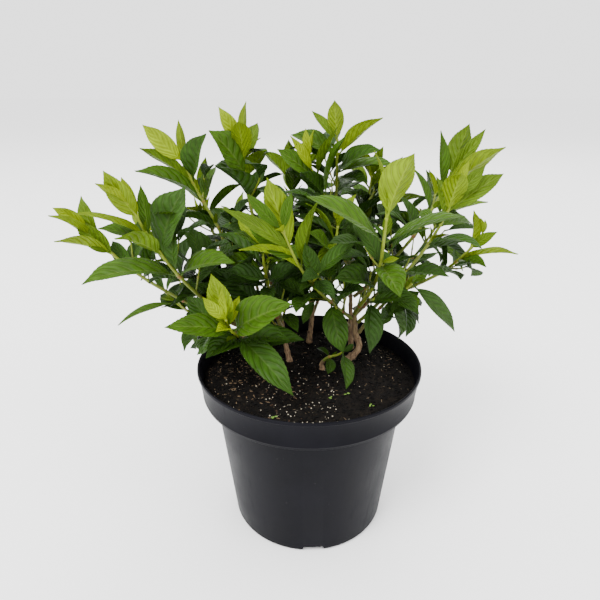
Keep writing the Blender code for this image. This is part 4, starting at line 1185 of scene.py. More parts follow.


# %% [markdown]
# Some leaves hang or twist in a way that no rule gives: light, wind and neighbours have drawn them. Those
# that show in the picture have their tip's place given one by one.

# %% Table of leaves that light has drawn
# Pair and side: where the tip reaches in mm, how far the upper face is turned to the front (the underside
# where negative), and breadth where it isn't the usual share. A pair with a fraction is a leaf of its own,
# grown from a bud between two pairs.
LEAF_TIPS = {
    "leaves_front_left": {
        (0, 0): (-13, -82, 182, 0.6, 0.32), (0, 1): (-92, -62, 208, 0.5),
        (1, 0): (-14, -72, 265, 0.6, 0.46), (1, 1): (-120, -82, 247, 0.5, 0.34),
        (1.5, 0): (-78, -78, 242, 0.8, 0.42), (2, 0): (-83, -58, 286, 1.0, 0.42),
        (2, 1): (-62, -42, 260, 1.0, 0.34), (3, 0): (-88, -74, 271, 0.5, 0.34),
        (3, 1): (-73, -68, 277, 0.8, 0.22)},
    "leaves_front_centre": {
        (0, 0): (33, -22, 193, 0.8, 0.48), (0, 1): (-9, -8, 243, 0.6), (1, 0): (16, -34, 261, 0.6, 0.46),
        (1, 1): (-9, -34, 261, 0.6), (2, 0): (-56, -78, 313, -0.8, 0.32),
        (2, 1): (6, -50, 346, -0.8, 0.28), (2.5, 1): (-53, -50, 328, 0.8, 0.36),
        (3, 0): (-34, -58, 366, -1.2, 0.34), (3, 1): (-65, -90, 348, 0.6, 0.18),
        (4, 0): (-52, -46, 351, 0.8, 0.26), (4, 1): (-15, -44, 352, 0.8, 0.3)},
    "leaves_front_right": {
        (0, 0): (102, -28, 237, 0.7, 0.42), (0, 1): (22, -38, 275, 0.7, 0.5),
        (1, 0): (76, -66, 269, 0.6, 0.58), (1, 1): (36, -25, 328, 0.4, 0.36),
        (2, 0): (120, -72, 339, -0.4, 0.36), (2, 1): (-3, -76, 355, 0.0, 0.34),
        (3, 0): (79, -62, 385, -1.2, 0.54), (3, 1): (51, -42, 385, -0.6, 0.2)},
    "leaves_left": {
        (0, 0): (-204, -38, 268, 0.5, 0.32), (0, 1): (-63, -52, 294, 0.6),
        (0.1, 1): (-116, -30, 323, 1.0, 0.5), (1, 0): (-154, -76, 321, -0.8, 0.44),
        (1, 1): (-108, -18, 352, 0.9, 0.6), (1.6, 0): (-181, -40, 320, 0.5, 0.32),
        (2, 0): (-187, -70, 340, -0.5, 0.2), (2, 1): (-142, -34, 356, -0.8, 0.26),
        (3, 0): (-165, -52, 370, 1.2, 0.42), (3, 1): (-156, -38, 363, 1.2, 0.36),
        (4, 0): (-168, -64, 362, -1.0, 0.32), (4, 1): (-152, -30, 351, -0.5, 0.26)},
    "leaves_far_left": {
        (0, 0): (-194, 22, 292, 0.8, 0.44), (0, 1): (-165, 34, 292, 0.8, 0.5),
        (1, 0): (-227, -28, 305, -1.0, 0.36), (1, 1): (-217, -2, 317, 1.0, 0.42),
        (2, 0): (-231, -22, 327, -0.6, 0.26), (2, 1): (-214, 12, 338, 0.9, 0.36),
        (3, 0): (-233, 6, 324, 0.4, 0.26)},
    "leaves_upper_left": {
        (0, 0): (-128, 4, 319, -0.6), (0, 1): (-60, 14, 302, 0.5), (1, 0): (-161, 12, 361, 0.6, 0.42),
        (1, 1): (-95, 64, 358, 0.8), (2, 0): (-158, 24, 380, -0.9, 0.3), (2, 1): (-95, 22, 393, 1.2, 0.6),
        (2.5, 1): (-123, 30, 388, -0.8, 0.22), (3, 0): (-155, 30, 400, 1.2, 0.38),
        (3, 1): (-124, 42, 404, -0.8, 0.24)},
    "leaves_top_left": {
        (0, 0): (-84, -4, 368, 0.8, 0.58), (0, 1): (-42, 44, 361, 0.8), (1, 0): (-89, 4, 397, 1.0, 0.58),
        (1, 1): (-39, 10, 380, -1.0, 0.46), (2, 0): (-60, -12, 406, -1.2, 0.36),
        (2, 1): (-50, 46, 401, 0.8), (3, 0): (-81, 14, 416, 1.2, 0.36),
        (3, 1): (-59, 34, 420, -0.6, 0.24)},
    "leaves_top_centre": {
        (0, 0): (-26, 18, 341, 0.5, 0.34), (1, 0): (32, 28, 391, 0.4, 0.38), (1, 1): (-9, 16, 360, -0.6),
        (2, 0): (-32, 46, 377, 0.8, 0.44), (2.4, 0): (-19, 38, 390, 0.6, 0.24),
        (3, 0): (-5, 46, 396, 0.8, 0.28), (3, 1): (3, 56, 394, -0.8, 0.22)},
    "leaves_top": {
        (0, 0): (-8, 66, 319, 0.5), (0.6, 0): (56, 40, 347, 0.9, 0.5), (1, 0): (64, 22, 379, 1.0, 0.5),
        (2, 0): (-20, 76, 388, 0.8, 0.4), (2, 1): (67, 40, 406, -1.0, 0.34),
        (3, 0): (22, 46, 421, -1.2, 0.46), (3, 1): (1, 60, 411, 0.8, 0.3)},
    "leaves_top_right": {
        (3, 0): (72, 64, 378, 0.8), (3, 1): (52, 70, 374, -0.8), (2, 1): (81, 58, 361, 0.8)},
    "leaves_upper_right": {
        (0, 0): (87, 34, 335, 0.8), (1, 0): (98, 38, 361, 0.8, 0.28), (2, 0): (121, 38, 395, 0.8, 0.22),
        (2, 1): (173, 10, 383, -1.0, 0.34), (3, 0): (146, 36, 401, -1.0, 0.46),
        (3, 1): (159, 28, 397, 0.5, 0.24)},
    "leaves_right": {
        (0, 0): (145, -46, 306, 0.5, 0.38), (1, 0): (92, -30, 330, 0.4),
        (0, 1): (127, 14, 274, 0.8, 0.32), (1.5, 1): (114, 8, 357, 0.8, 0.46),
        (2, 0): (129, -16, 364, -1.2, 0.56), (1, 1): (159, 29, 308, 0.6, 0.34),
        (2, 1): (176, 14, 359, 1.0, 0.32), (3, 0): (156, 6, 367, 1.0),
        (3, 1): (138, -4, 373, -1.0, 0.26)},
    "leaves_far_right": {
        (0, 0): (137, -26, 271, 0.5, 0.5), (0, 1): (123, -6, 281, 0.8, 0.4),
        (1, 0): (186, -22, 294, -0.8, 0.3), (1, 1): (160, -20, 281, 0.6, 0.5),
        (2, 0): (148, -2, 329, -0.5, 0.36), (2, 1): (166, -18, 313, 0.8),
        (3, 0): (161, 4, 319, 0.8, 0.28), (3, 1): (152, -10, 324, -0.8, 0.28)},
    "leaves_low_right": {
        (0, 0): (93, 18, 189, 0.8, 0.44), (0, 1): (73, 2, 212, 0.8, 0.5),
        (1, 0): (105, -8, 233, 0.8, 0.56), (1, 1): (58, -8, 240, 0.8), (2, 0): (109, -10, 282, 0.8, 0.44),
        (2, 1): (149, 14, 200, 0.8, 0.26)},
    "leaves_low_left": {
        (0, 0): (-130, 8, 178, 0.8, 0.54), (0, 1): (-121, 24, 174, 0.8, 0.54),
        (1, 0): (-160, 46, 226, 0.3, 0.5), (2, 0): (-197, 12, 205, 0.4, 0.2),
        (2, 1): (-123, 54, 234, 0.8), (3, 0): (-159, 30, 272, 0.8), (3, 1): (-131, 20, 263, 0.8)},
    "leaves_inner_right": {
        (0, 0): (8, -26, 281, 0.8, 0.46), (1, 0): (39, -12, 284, 0.8, 0.46),
        (1, 1): (-2, -18, 312, 0.8, 0.46), (2, 1): (8, -14, 273, 0.9, 0.48)},
    "leaves_centre": {
        (0, 0): (-78, -38, 268, 0.7, 0.4), (0, 1): (-4, -20, 276, 0.7, 0.42),
        (1, 0): (-86, -10, 284, 0.6, 0.42)},
    "leaves_back_far_left": {
        (1, 0): (-167, 46, 263, 0.4)},
    "leaves_sucker": {
        (0, 0): (19, -14, 165, 0.6, 0.6), (0, 1): (8, 18, 178, 0.6), (1, 0): (36, -40, 164, 0.6, 0.42),
        (1, 1): (46, 8, 188, 0.6, 0.4)},
}
print("drawn leaves:", sum(len(row) for row in LEAF_TIPS.values()))

# %% [markdown]
# A plain leaf comes first: the blade of fourteen faces that the solids use. It isn't shown, but each leaf
# is tested with it, so that the shown leaves don't run through twigs, boughs or each other.

# %% Plain leaves for testing room


def plain_width(t):
    """Half width of the blade at a share of its length, as a share of the half width at its broadest."""
    rise = 0.80
    fall = 1.15
    broadest = rise / (rise + fall)
    peak = broadest ** rise * (1.0 - broadest) ** fall
    return max(t, 0.0) ** rise * max(1.0 - t, 0.0) ** fall / peak


def leaf_axis(leaf, t):
    """Point, direction and face normal on the midrib at a share of the whole leaf's length."""
    bend = math.radians(leaf["bend"])
    angle = bend * t
    along = leaf["along"]
    face = leaf["face"]
    if abs(bend) < 0.001:
        point = along * t * leaf["length"]
    else:
        point = along * (math.sin(angle) / bend) * leaf["length"]
        point -= face * ((1.0 - math.cos(angle)) / bend) * leaf["length"]
    heading = along * math.cos(angle) - face * math.sin(angle)
    normal = face * math.cos(angle) + along * math.sin(angle)
    return leaf["root"] + point, heading, normal


def leaf_blade(leaf, swell=0.0):
    """Corners and faces of a leaf: a three-cornered petiole sunk in the twig, two folded sections, a tip."""
    length = leaf["length"]
    thick = max(RIB_THICKNESS * length, LEAST_THICKNESS) * 0.5 + swell
    fold = math.radians(leaf["fold"])
    point, heading, normal = leaf_axis(leaf, 0.0)
    side = heading.cross(normal).normalized()
    stalk = PETIOLE_RADIUS + swell
    start = point + heading * (PETIOLE_START + swell)
    corners = [start - side * stalk + normal * stalk * 0.5, start + side * stalk + normal * stalk * 0.5,
               start - normal * stalk]
    for blade_share in BLADE_SECTIONS:
        point, heading, normal = leaf_axis(leaf, PETIOLE_SHARE + blade_share * (1.0 - PETIOLE_SHARE))
        side = heading.cross(normal).normalized()
        half = leaf["width"] * 0.5 * plain_width(blade_share) + swell
        rise = normal * half * math.sin(fold)
        spread = side * half * math.cos(fold)
        corners += [point - spread + rise, point + normal * thick, point + spread + rise,
                    point - normal * thick]
    corners.append(leaf_axis(leaf, 1.0)[0])
    faces = [(2, 1, 0), (0, 1, 4), (0, 4, 3), (1, 5, 4), (1, 2, 6, 5), (2, 0, 3, 6)]
    for corner in range(4):
        after = (corner + 1) % 4
        faces.append((3 + corner, 3 + after, 7 + after, 7 + corner))
        faces.append((7 + corner, 7 + after, 11))
    return corners, faces


def frame_round(direction):
    """Two directions square to a twig: one as near the right as it can be, and one towards the front."""
    across = (RIGHT - direction * RIGHT.dot(direction)).normalized()
    front = across.cross(direction).normalized()
    return across, front


def make_leaf(path, wish, turned, opened, shrunk):
    """A leaf on a twig: turned round it and opened from it, or drawn to its set tip, face to the sky."""
    root = point_along(path, wish["share"])
    axis = direction_along(path, wish["share"])
    across, front = frame_round(axis)
    bend = wish["bend"]
    half_bend = math.radians(bend) * 0.5
    tip = wish["tip"]
    sky = axis + UP * wish["lift"] + wish.get("toward", FRONT) * tip[3]
    slender = tip[4] if len(tip) > 4 else wish["slender"]
    if tip[0] is not None:
        chord = place(tip[:3]) - root
        length = chord.length * half_bend / math.sin(half_bend)
        chord.normalize()
        side = chord.cross(sky).normalized()
        chord = Matrix.Rotation(math.radians(turned * TRY_SHARE), 3, sky.normalized()) @ chord
        chord = Matrix.Rotation(math.radians(opened * TRY_SHARE), 3, side) @ chord
        upward = (sky - chord * sky.dot(chord)).normalized()
        along = chord * math.cos(half_bend) + upward * math.sin(half_bend)
    else:
        length = wish["length"]
        turn = math.radians(wish["turn"] + turned)
        angle = math.radians(wish["opening"] + opened)
        out = across * math.cos(turn) + front * math.sin(turn)
        along = (axis * math.cos(angle) + out * math.sin(angle)).normalized()
    face = (sky - along * sky.dot(along)).normalized()
    length *= shrunk
    return {"root": root, "along": along, "face": face, "length": length, "width": length * slender,
            "bend": bend, "fold": LEAF_FOLD, "age": wish["age"]}


print("plain leaf ready")

# %% [markdown]
# Room to grow. A box and a search tree of faces is kept for each thing that is already there. A new
# leaf is tried in a dozen poses, turned or shrunk a little each time, and is left out when none is clear.

# %% Room to grow


def box_of(corners):
    low = [min(corner[i] for corner in corners) for i in range(3)]
    high = [max(corner[i] for corner in corners) for i in range(3)]
    return low, high


def boxes_meet(first, second):
    return all(first[0][i] <= second[1][i] and second[0][i] <= first[1][i] for i in range(3))


class Space:
    """What is already there: each thing has an owner (its mass and twig), a box and a tree of its faces."""

    def __init__(self):
        self.things = []

    def add(self, owner, corners, faces):
        self.things.append((owner, box_of(corners), BVHTree.FromPolygons(corners, faces)))

    def clear_for(self, own, corners, faces):
        """Whether a shape touches nothing but what has its own name."""
        box = box_of(corners)
        tree = BVHTree.FromPolygons(corners, faces)
        for owner, other_box, other_tree in self.things:
            if owner[:len(own)] != own and boxes_meet(box, other_box) and tree.overlap(other_tree):
                return False
        return True


print("room test ready")

# %% [markdown]
# The plan of a twig lists its leaves before they are tried: how far up, which way round, how far opened,
# how long, how broad and how bent.

# %% Plan of a twig


def node_shares(pairs, lowest):
    """Where the pairs of leaves sit on a twig: closer together towards its tip."""
    if pairs == 1:
        return [lowest]
    return [lowest + (1.0 - lowest) * (k / (pairs - 1)) ** NODE_CROWDING for k in range(pairs)]


def leaf_size(age):
    """Share of a full leaf: a little less at the foot, full in the middle, small at the growing tip."""
    return 0.88 + 0.24 * age - 0.44 * age ** 3


def plan_twig(pairs, lowest, leaf_length, turn, chance, tips):
    """The leaves of one twig before they are tried: opposite pairs, each square to the one below."""
    wishes = []
    for k, share in enumerate(node_shares(pairs, lowest)):
        age = k / max(pairs - 1, 1)
        for side in range(2):
            wishes.append({
                "node": k,
                "side": side,
                "share": min(share, LAST_NODE),
                "turn": turn + 90.0 * k + 180.0 * side + chance.uniform(-TURN_JITTER, TURN_JITTER),
                "opening": LOW_OPENING + (TIP_OPENING - LOW_OPENING) * age
                + chance.uniform(-OPENING_JITTER, OPENING_JITTER),
                "bend": LOW_BEND + (TIP_BEND - LOW_BEND) * age + chance.uniform(-BEND_JITTER, BEND_JITTER),
                "length": leaf_length * leaf_size(age) * chance.uniform(*LENGTH_SPREAD),
                "lift": SKY_LIFT * (1.0 - age) ** 1.5,
                "slender": LEAF_SLENDERNESS * (1.0 - TIP_SLIMMING * age) * chance.uniform(*BREADTH_SPREAD),
                "age": age,
                "tip": tips.get((k, side), (None, None, None, chance.uniform(-SHOW_SPREAD, SHOW_SPREAD))),
            })
    return wishes + lone_leaves(pairs, lowest, tips)


def lone_leaves(pairs, lowest, tips):
    """The drawn leaves that stand between two pairs, their pair number having a fraction."""
    wishes = []
    for (k, side), tip in tips.items():
        if k != int(k):
            age = k / (pairs - 1)
            wishes.append({
                "node": k,
                "side": side,
                "share": lowest + (1.0 - lowest) * age ** NODE_CROWDING,
                "bend": LOW_BEND + (TIP_BEND - LOW_BEND) * age,
                "lift": SKY_LIFT * (1.0 - age) ** 1.5,
                "slender": LEAF_SLENDERNESS,
                "age": age,
                "tip": tip,
            })
    return wishes


def twig_path(start, leave, tip):
    reach = (tip - start).length
    away = (tip - start).normalized()
    arrive = (away + UP * TWIG_RISE).normalized()
    return hermite(start, leave * reach, tip, arrive * reach, TWIG_POINTS)


def side_twig(path, share, turn, chance):
    """A short twig from the angle between a leaf and its twig."""
    axis = direction_along(path, share)
    across, front = frame_round(axis)
    angle = math.radians(turn + 90.0 + chance.choice((0.0, 180.0)))
    out = across * math.cos(angle) + front * math.sin(angle)
    opening = math.radians(SIDE_TWIG_OPENING)
    away = axis * math.cos(opening) + out * math.sin(opening)
    root = point_along(path, share)
    reach = SIDE_TWIG_LENGTH * (path[-1] - path[0]).length
    return twig_path(root, away, root + away * reach + UP * SIDE_TWIG_RISE)


def first_clear_leaf(own, path, wish, space):
    for turned, opened, shrunk in TRIES:
        leaf = make_leaf(path, wish, turned, opened, shrunk)
        if space.clear_for(own, *leaf_blade(leaf, swell=CONTACT)):
            space.add(own, *leaf_blade(leaf))
            return leaf
    return None


def plain_twig(path, radii):
    sizes = [(radii[0] + (radii[1] - radii[0]) * i / (len(path) - 1)) * MM for i in range(len(path))]
    return tube(path, sizes, 3)


print("twig plan ready")

# %% [markdown]
# Now the shoots grow. The room is filled first with the frame's own limbs, pot and soil, then with
# every twig, and then the leaves are tried in turn, mass by mass.

# %% Grow the shoots
room = Space()
for node in NODES:
    if node not in MASSES:
        faces = [tuple(face.vertices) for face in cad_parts[node].data.polygons]
        room.add((node,), corners_of(node), faces)
shoots = []


def grow_shoot(mass, path, radii, plain_radii, pairs, lowest, turn, leaf_length, chance, tips):
    """Plans a shoot's leaves, lists it, and takes the room that its solid's twig has."""
    plan = plan_twig(pairs, lowest, leaf_length, turn, chance, tips)
    shoots.append({"mass": mass, "path": path, "radii": radii, "plan": plan, "leaves": [], "pairs": pairs,
                   "lowest": lowest, "turn": turn, "leaf_length": leaf_length})
    room.add((mass, len(shoots)), *plain_twig(path, plain_radii))


for index, (name, row) in enumerate(FOLIAGE.items()):
    carrier, tip, pairs, lowest, leaf_length, turn, side_twigs = row
    line = LINES[carrier]
    leave = (line[-1] - line[-2]).normalized()
    path = twig_path(line[-1] + leave * TWIG_CLEARANCE, leave, place(tip))
    chance = random.Random(SEED + index)
    grow_shoot(name, path, TWIG_RADII, CAD_TWIG_RADII, pairs, lowest, turn, leaf_length * MM, chance,
               LEAF_TIPS.get(name, {}))
    for number in range(side_twigs):
        share = node_shares(pairs, lowest)[1 + number] + SIDE_TWIG_PLACE
        side_path = side_twig(path, share, turn, chance)
        grow_shoot(name, side_path, SIDE_TWIG_RADII, CAD_SIDE_RADII, 1, SIDE_LEAF_PLACE,
                   turn + SIDE_LEAF_TURN, leaf_length * SIDE_LEAF_SHARE * MM, chance, {})
for shoot in shoots:
    for wish in shoot["plan"]:
        leaf = first_clear_leaf((shoot["mass"],), shoot["path"], wish, room)
        if leaf:
            aimed = wish["tip"][0] is not None
            leaf.update(mass=shoot["mass"], drawn=(wish["node"], wish["side"]), aimed=aimed)
            shoot["leaves"].append(leaf)
print("shoots:", len(shoots), "leaves:", sum(len(shoot["leaves"]) for shoot in shoots))

# %% [markdown]
# The crown isn't a solid ball: between its sprays the white room shows. The windows below are boxes in
# the picture, in its own pixels, where it shows through. A small leaf or a side twig that would stand in
# one, seen from the camera, is left out.

# %% Windows in the crown
PICTURE_SIDE = 600
SKY_WINDOWS = (
    (422, 279, 530, 350), (488, 264, 530, 350), (50, 284, 158, 350), (50, 248, 104, 270),
    (316, 297, 333, 316), (412, 172, 428, 207), (199, 160, 214, 173), (463, 240, 478, 251),
    (409, 236, 425, 255), (428, 216, 448, 226), (340, 112, 372, 132), (148, 184, 158, 214),
    (150, 310, 184, 326), (345, 300, 364, 350), (212, 176, 222, 206), (268, 150, 288, 168),
)
TO_CAMERA = (Matrix.Rotation(CAMERA_SWING, 3, "Z")
             @ Matrix.Rotation(math.radians(90.0) - CAMERA_DOWN, 3, "X")).inverted()
FOCAL = PICTURE_SIDE * 0.5 / math.tan(VIEW_ANGLE * 0.5)


def seen_at(point):
    """Where a point is in the picture, in pixels from its top left corner."""
    local = TO_CAMERA @ (point - CAMERA_PLACE)
    return PICTURE_SIDE * 0.5 - FOCAL * local.x / local.z, PICTURE_SIDE * 0.5 + FOCAL * local.y / local.z


def in_window(point):
    x, y = seen_at(point)
    return any(left < x < right and top < y < bottom for left, top, right, bottom in SKY_WINDOWS)


print("windows:", len(SKY_WINDOWS), "pot rim seen at", [round(value) for value in seen_at(POT_HIGH)])

# %% [markdown]
# Finer growth. The solids stop at the pairs of large leaves, and a real shoot has more: a tight bud of
# tiny leaves at its tip, small leaves in the angles above the old ones, and short side twigs low in the
# crown, whose leaves fill the inside and are dealt dark shades, partly a painted shade. They come from a
# random source of their own, so that they don't disturb the rule above, and stay within the reach of the
# solids.

# %% Finer growth
FINE_SEED = 509
# Each kind of small leaf: its bend in degrees, breadth, lift to the sky and age
BUD_LEAF = {"bend": 14.0, "slender": 0.32, "lift": 0.0, "age": 1.15}
AXIL_LEAF = {"bend": 12.0, "slender": 0.38, "lift": 0.3, "age": 0.75}
# The inner leaves' low age deals them dark shades, partly a painted shade inside the crown
INNER_SHADED_LEAF = {"bend": 28.0, "slender": 0.44, "lift": 0.8, "age": 0.05}
# The bud's pairs, outermost first: length and opening in degrees
BUD_PAIRS = ((0.030, 34.0), (0.021, 22.0), (0.013, 10.0))
BUD_SPREAD = (0.8, 1.2)
NO_AXIL_LEAF = 0.45
AXIL_SHARE = 0.30
AXIL_SPREAD = (0.7, 1.25)
AXIL_STEP = 0.035
AXIL_LAST = 0.98
AXIL_OPENING = (24.0, 44.0)
AXIL_JITTER = 25.0
INNER_TWIG = 0.024
INNER_TWIG_SPREAD = (0.75, 1.35)
INNER_TWIG_START = 0.0012
INNER_TWIG_RISE = 0.004
INNER_PAIRS = ((1, LAST_NODE, 40.0), (0, 0.5, 58.0))
INNER_LOWEST = 0.45
INNER_LEAF = 0.050
INNER_SPREAD = (0.75, 1.15)
INNER_RADII = (1.0, 0.75)
LOWEST_INNER = 0.184
TINY_LEAF = 0.03
REACH_MARGIN = 0.004
CROWN_AXIS = Vector((-0.010, 0.030, 0.0))
# Where inner twigs stand: shares of a bough, places and headings on a stem, and shares of a shoot
BOUGH_PLACES = (0.42, 0.74)
STEM_PLACES = ((0.80, 200.0), (0.93, 320.0), (0.96, 90.0))
SHOOT_PLACES = (0.12, 0.40)
SHOOT_TWIG_SHARE = 0.9
fine_chance = random.Random(FINE_SEED)


def small_wish(kind, path, share, turn, opening, length):
    """A leaf of the finer growth. Its face turns outwards, away from the middle of the crown."""
    root = point_along(path, share)
    toward = Vector((root.x - CROWN_AXIS.x, root.y - CROWN_AXIS.y, 0.0)).normalized()
    return {**kind, "share": share, "turn": turn, "opening": opening, "length": length, "toward": toward,
            "tip": (None, None, None, fine_chance.uniform(-0.1, 0.9))}


def inside_frame(corners):
    low, high = cad_box
    return all(low[i] - REACH_MARGIN < corner[i] < high[i] + REACH_MARGIN
               for corner in corners for i in range(3))


def try_small_leaf(shoot, own, wish, tries):
    """Tries a small leaf in a few poses and keeps the first that is clear, off the soil and off the sky."""
    for turned, opened, shrunk in TRIES[:tries]:
        leaf = make_leaf(shoot["path"], wish, turned, opened, shrunk)
        corners, faces = leaf_blade(leaf, swell=CONTACT)
        if corners[-1].z < LOWEST_INNER and leaf["length"] > TINY_LEAF:
            continue
        if any(in_window(corner) for corner in corners[3:]):
            continue
        if inside_frame(corners) and room.clear_for(own, corners, faces):
            room.add(own + ("small",), *leaf_blade(leaf))
            leaf.update(mass=shoot["mass"], drawn=None, aimed=False)
            shoot["leaves"].append(leaf)
            return


def grow_bud(shoot, own):
    """Crossed pairs of small upright leaves at the growing tip."""
    for ring, (length, opening) in enumerate(BUD_PAIRS):
        for side in range(2):
            turn = shoot["turn"] + 90.0 * (shoot["pairs"] + ring) + 180.0 * side
            wish = small_wish(BUD_LEAF, shoot["path"], LAST_NODE, turn, opening,
                              length * fine_chance.uniform(*BUD_SPREAD))
            try_small_leaf(shoot, own, wish, 6)


def grow_axils(shoot, own):
    """A small leaf above about half of the large ones."""
    for k, share in enumerate(node_shares(shoot["pairs"], shoot["lowest"])[:-1]):
        for side in range(2):
            if fine_chance.random() < NO_AXIL_LEAF:
                continue
            turn = shoot["turn"] + 90.0 * k + 180.0 * side + fine_chance.uniform(-AXIL_JITTER, AXIL_JITTER)
            length = shoot["leaf_length"] * AXIL_SHARE * fine_chance.uniform(*AXIL_SPREAD)
            opening = fine_chance.uniform(*AXIL_OPENING)
            above = min(share + AXIL_STEP, AXIL_LAST)
            wish = small_wish(AXIL_LEAF, shoot["path"], above, turn, opening, length)
            try_small_leaf(shoot, own, wish, 5)


def grow_inner_twig(mass, path, share, turn, leaf_length, thin=1.0):
    """A short twig with two pairs of leaves, where there is room for it."""
    axis = direction_along(path, share)
    across, front = frame_round(axis)
    angle = math.radians(turn)
    out = across * math.cos(angle) + front * math.sin(angle)
    away = (axis * 0.75 + out * 0.9 + UP * 0.25).normalized()
    root = point_along(path, share)
    reach = INNER_TWIG * fine_chance.uniform(*INNER_TWIG_SPREAD)
    twig = twig_path(root + away * INNER_TWIG_START, away, root + away * reach + UP * INNER_TWIG_RISE)
    own = (mass, "inner", len(shoots))
    if in_window(twig[-1]):
        return
    shoot = {"mass": mass, "path": twig, "leaves": [], "pairs": 2, "lowest": INNER_LOWEST, "turn": turn,
             "radii": tuple(radius * thin for radius in INNER_RADII), "leaf_length": leaf_length}
    for k, place_on, opening in INNER_PAIRS:
        for side in range(2):
            length = leaf_length * fine_chance.uniform(*INNER_SPREAD)
            wish = small_wish(INNER_SHADED_LEAF, twig, place_on, turn + 90.0 * k + 180.0 * side, opening, length)
            try_small_leaf(shoot, own, wish, 8)
        if not shoot["leaves"]:
            return
    shoots.append(shoot)
    room.add(own, *plain_twig(twig, INNER_RADII))


def fill_inside():
    """Short leafy twigs from the boughs, the stems and the lower part of the shoots."""
    mass_of = {row[0]: name for name, row in FOLIAGE.items()}
    for bough in BOUGHS:
        for share in BOUGH_PLACES:
            first_turn = fine_chance.uniform(0.0, 360.0)
            for side in range(2):
                length = INNER_LEAF * fine_chance.uniform(0.85, 1.15)
                grow_inner_twig(mass_of[bough], LINES[bough], share, first_turn + 180.0 * side, length)
    for stem in STEMS:
        carried = [bough for bough, row in BOUGHS.items() if row[0] == stem]
        for share, middle_turn in STEM_PLACES:
            if carried:
                turn = middle_turn + fine_chance.uniform(-40.0, 40.0)
                length = INNER_LEAF * fine_chance.uniform(0.8, 1.05)
                grow_inner_twig(mass_of[carried[0]], LINES[stem], share, turn, length)
    for shoot in list(shoots):
        if shoot["pairs"] < 3:
            continue
        for share in SHOOT_PLACES:
            turn = fine_chance.uniform(0.0, 360.0)
            length = INNER_LEAF * fine_chance.uniform(0.75, 1.0)
            grow_inner_twig(shoot["mass"], shoot["path"], share, turn, length, SHOOT_TWIG_SHARE)


# Dark leaves low on the front left shoot, dealt the deep shade, partly a painted shade under the crown:
# how far up it, the tip's place in mm, how far the face is turned to the front, and breadth
FRONT_MASS = "leaves_front_left"
FRONT_LEAVES = (
    (0.30, (-91, -66, 210), 0.6, 0.46),
    (0.18, (-4, -30, 211), 0.5, 0.38),
    (0.30, (-17, -52, 221), 0.5, 0.40),
)


def grow_front_leaves():
    shoot = next(shoot for shoot in shoots if shoot["mass"] == FRONT_MASS)
    for share, tip, show, breadth in FRONT_LEAVES:
        wish = {"share": share, "bend": LOW_BEND, "lift": SKY_LIFT, "slender": breadth, "age": 0.2,
                "tip": (*tip, show, breadth)}
        leaf = first_clear_leaf((FRONT_MASS,), shoot["path"], wish, room)
        if leaf:
            # The deep shade here is partly a painted shade under the crown
            leaf.update(mass=FRONT_MASS, drawn=None, aimed=True, shade="deep")
            shoot["leaves"].append(leaf)
            print("front leaf to", tip, "is", round(leaf["length"] / MM), "mm long")


grow_front_leaves()
for number, shoot in enumerate(shoots, start=1):
    grow_bud(shoot, (shoot["mass"], number))
    grow_axils(shoot, (shoot["mass"], number))
fill_inside()
print("shoots with the finer ones:", len(shoots), "leaves:", sum(len(shoot["leaves"]) for shoot in shoots))

# %% [markdown]
# Twigs have ten sides, a swelling at each pair of leaves, and get younger in colour from their foot, where
# they are last year's green wood, to the soft lime tip.

# %% Twigs
TWIG_SIDES = 10
TWIG_STEPS = 6
TWIG_SWELL = 0.42
TWIG_NODE_WIDTH = 0.0013
TWIG_YOUTH = 0.62
TWIG_YOUNGER = 0.36
RED_FADES = 0.6


def dress_twig(shoot, twigs):
    points = smooth_through(shoot["path"], TWIG_STEPS)
    along = lengths_along(points)
    total = along[-1]
    thickness = THICKNESS.get(FOLIAGE[shoot["mass"]][0], 1.0)
    foot, end = (radius * MM * (0.5 + 0.5 * thickness) for radius in shoot["radii"])
    nodes = [share * total for share in node_shares(shoot["pairs"], shoot["lowest"])]
    radii = []
    spots = []
    for length in along:
        near = max(bump_at(length - node, TWIG_NODE_WIDTH) for node in nodes)
        share = length / total
        radii.append((foot + (end - foot) * share) * (1.0 + TWIG_SWELL * near))
        youth = TWIG_YOUTH + TWIG_YOUNGER * share
        spots += [(youth, near * (1.0 - RED_FADES * share))] * TWIG_SIDES
    corners, faces = tube(points, radii, TWIG_SIDES)
    ends = [(TWIG_YOUTH, 0.0), (TWIG_YOUTH + TWIG_YOUNGER, 0.0)]
    twigs.add(corners, faces, [0] * len(faces), spots + ends)


twigs = Gathered()
for shoot in shoots:
    dress_twig(shoot, twigs)
dress(twigs.piece("green_twigs"), [GREEN_FINISH], MASSES)
print("twigs:", len(twigs.faces), "faces")

# %% [markdown]
# The shown leaf. Its blade is a loft: rings of fourteen corners along the midrib, eight on the upper
# side, the two margins among them, and six below. Each half rises from the midrib and arches over, the
# veins sink and the blade swells between them, every second margin corner is drawn out into a tooth, and
# the midrib stands out below. The petiole is the same loft, only narrow and thick.

# %% Leaf blade
TOP_COLUMNS = (-1.0, -0.68, -0.36, -0.05, 0.05, 0.36, 0.68, 1.0)
UNDER_COLUMNS = (0.68, 0.36, 0.06, -0.06, -0.36, -0.68)
PETIOLE_RINGS = 4
PETIOLE_HALF = 0.00085
PETIOLE_DEPTH = 0.001
BLADE_THICKNESS = 0.00030
RIB_DEPTH = 0.011
VEIN_COUNT = 6.5
VEIN_LEAN = 0.22
VEIN_ARCH = 0.16
VEIN_SHIFT = 0.35
QUILT = 0.070
TOOTH = 0.006
TOOTHED_PART = (0.08, 0.95)
TOOTH_OUT = 0.8
TOOTH_ONWARD = 1.1
HALF_ARCH = 0.25
RIPPLES = 7.5
RIPPLE_LAG = 1.9
SLIM_BELOW = 0.04


def blade_width(t):
    """Half width of a real blade at a share of its length: full in the middle, drawn out at its tip."""
    rise = 0.85
    fall = 1.02
    broadest = rise / (rise + fall)
    peak = broadest ** rise * (1.0 - broadest) ** fall
    drawn_out = 1.0 - 0.35 * max(0.0, (t - 0.72) / 0.28) ** 1.2
    return max(t, 0.0) ** rise * max(1.0 - t, 0.0) ** fall / peak * drawn_out


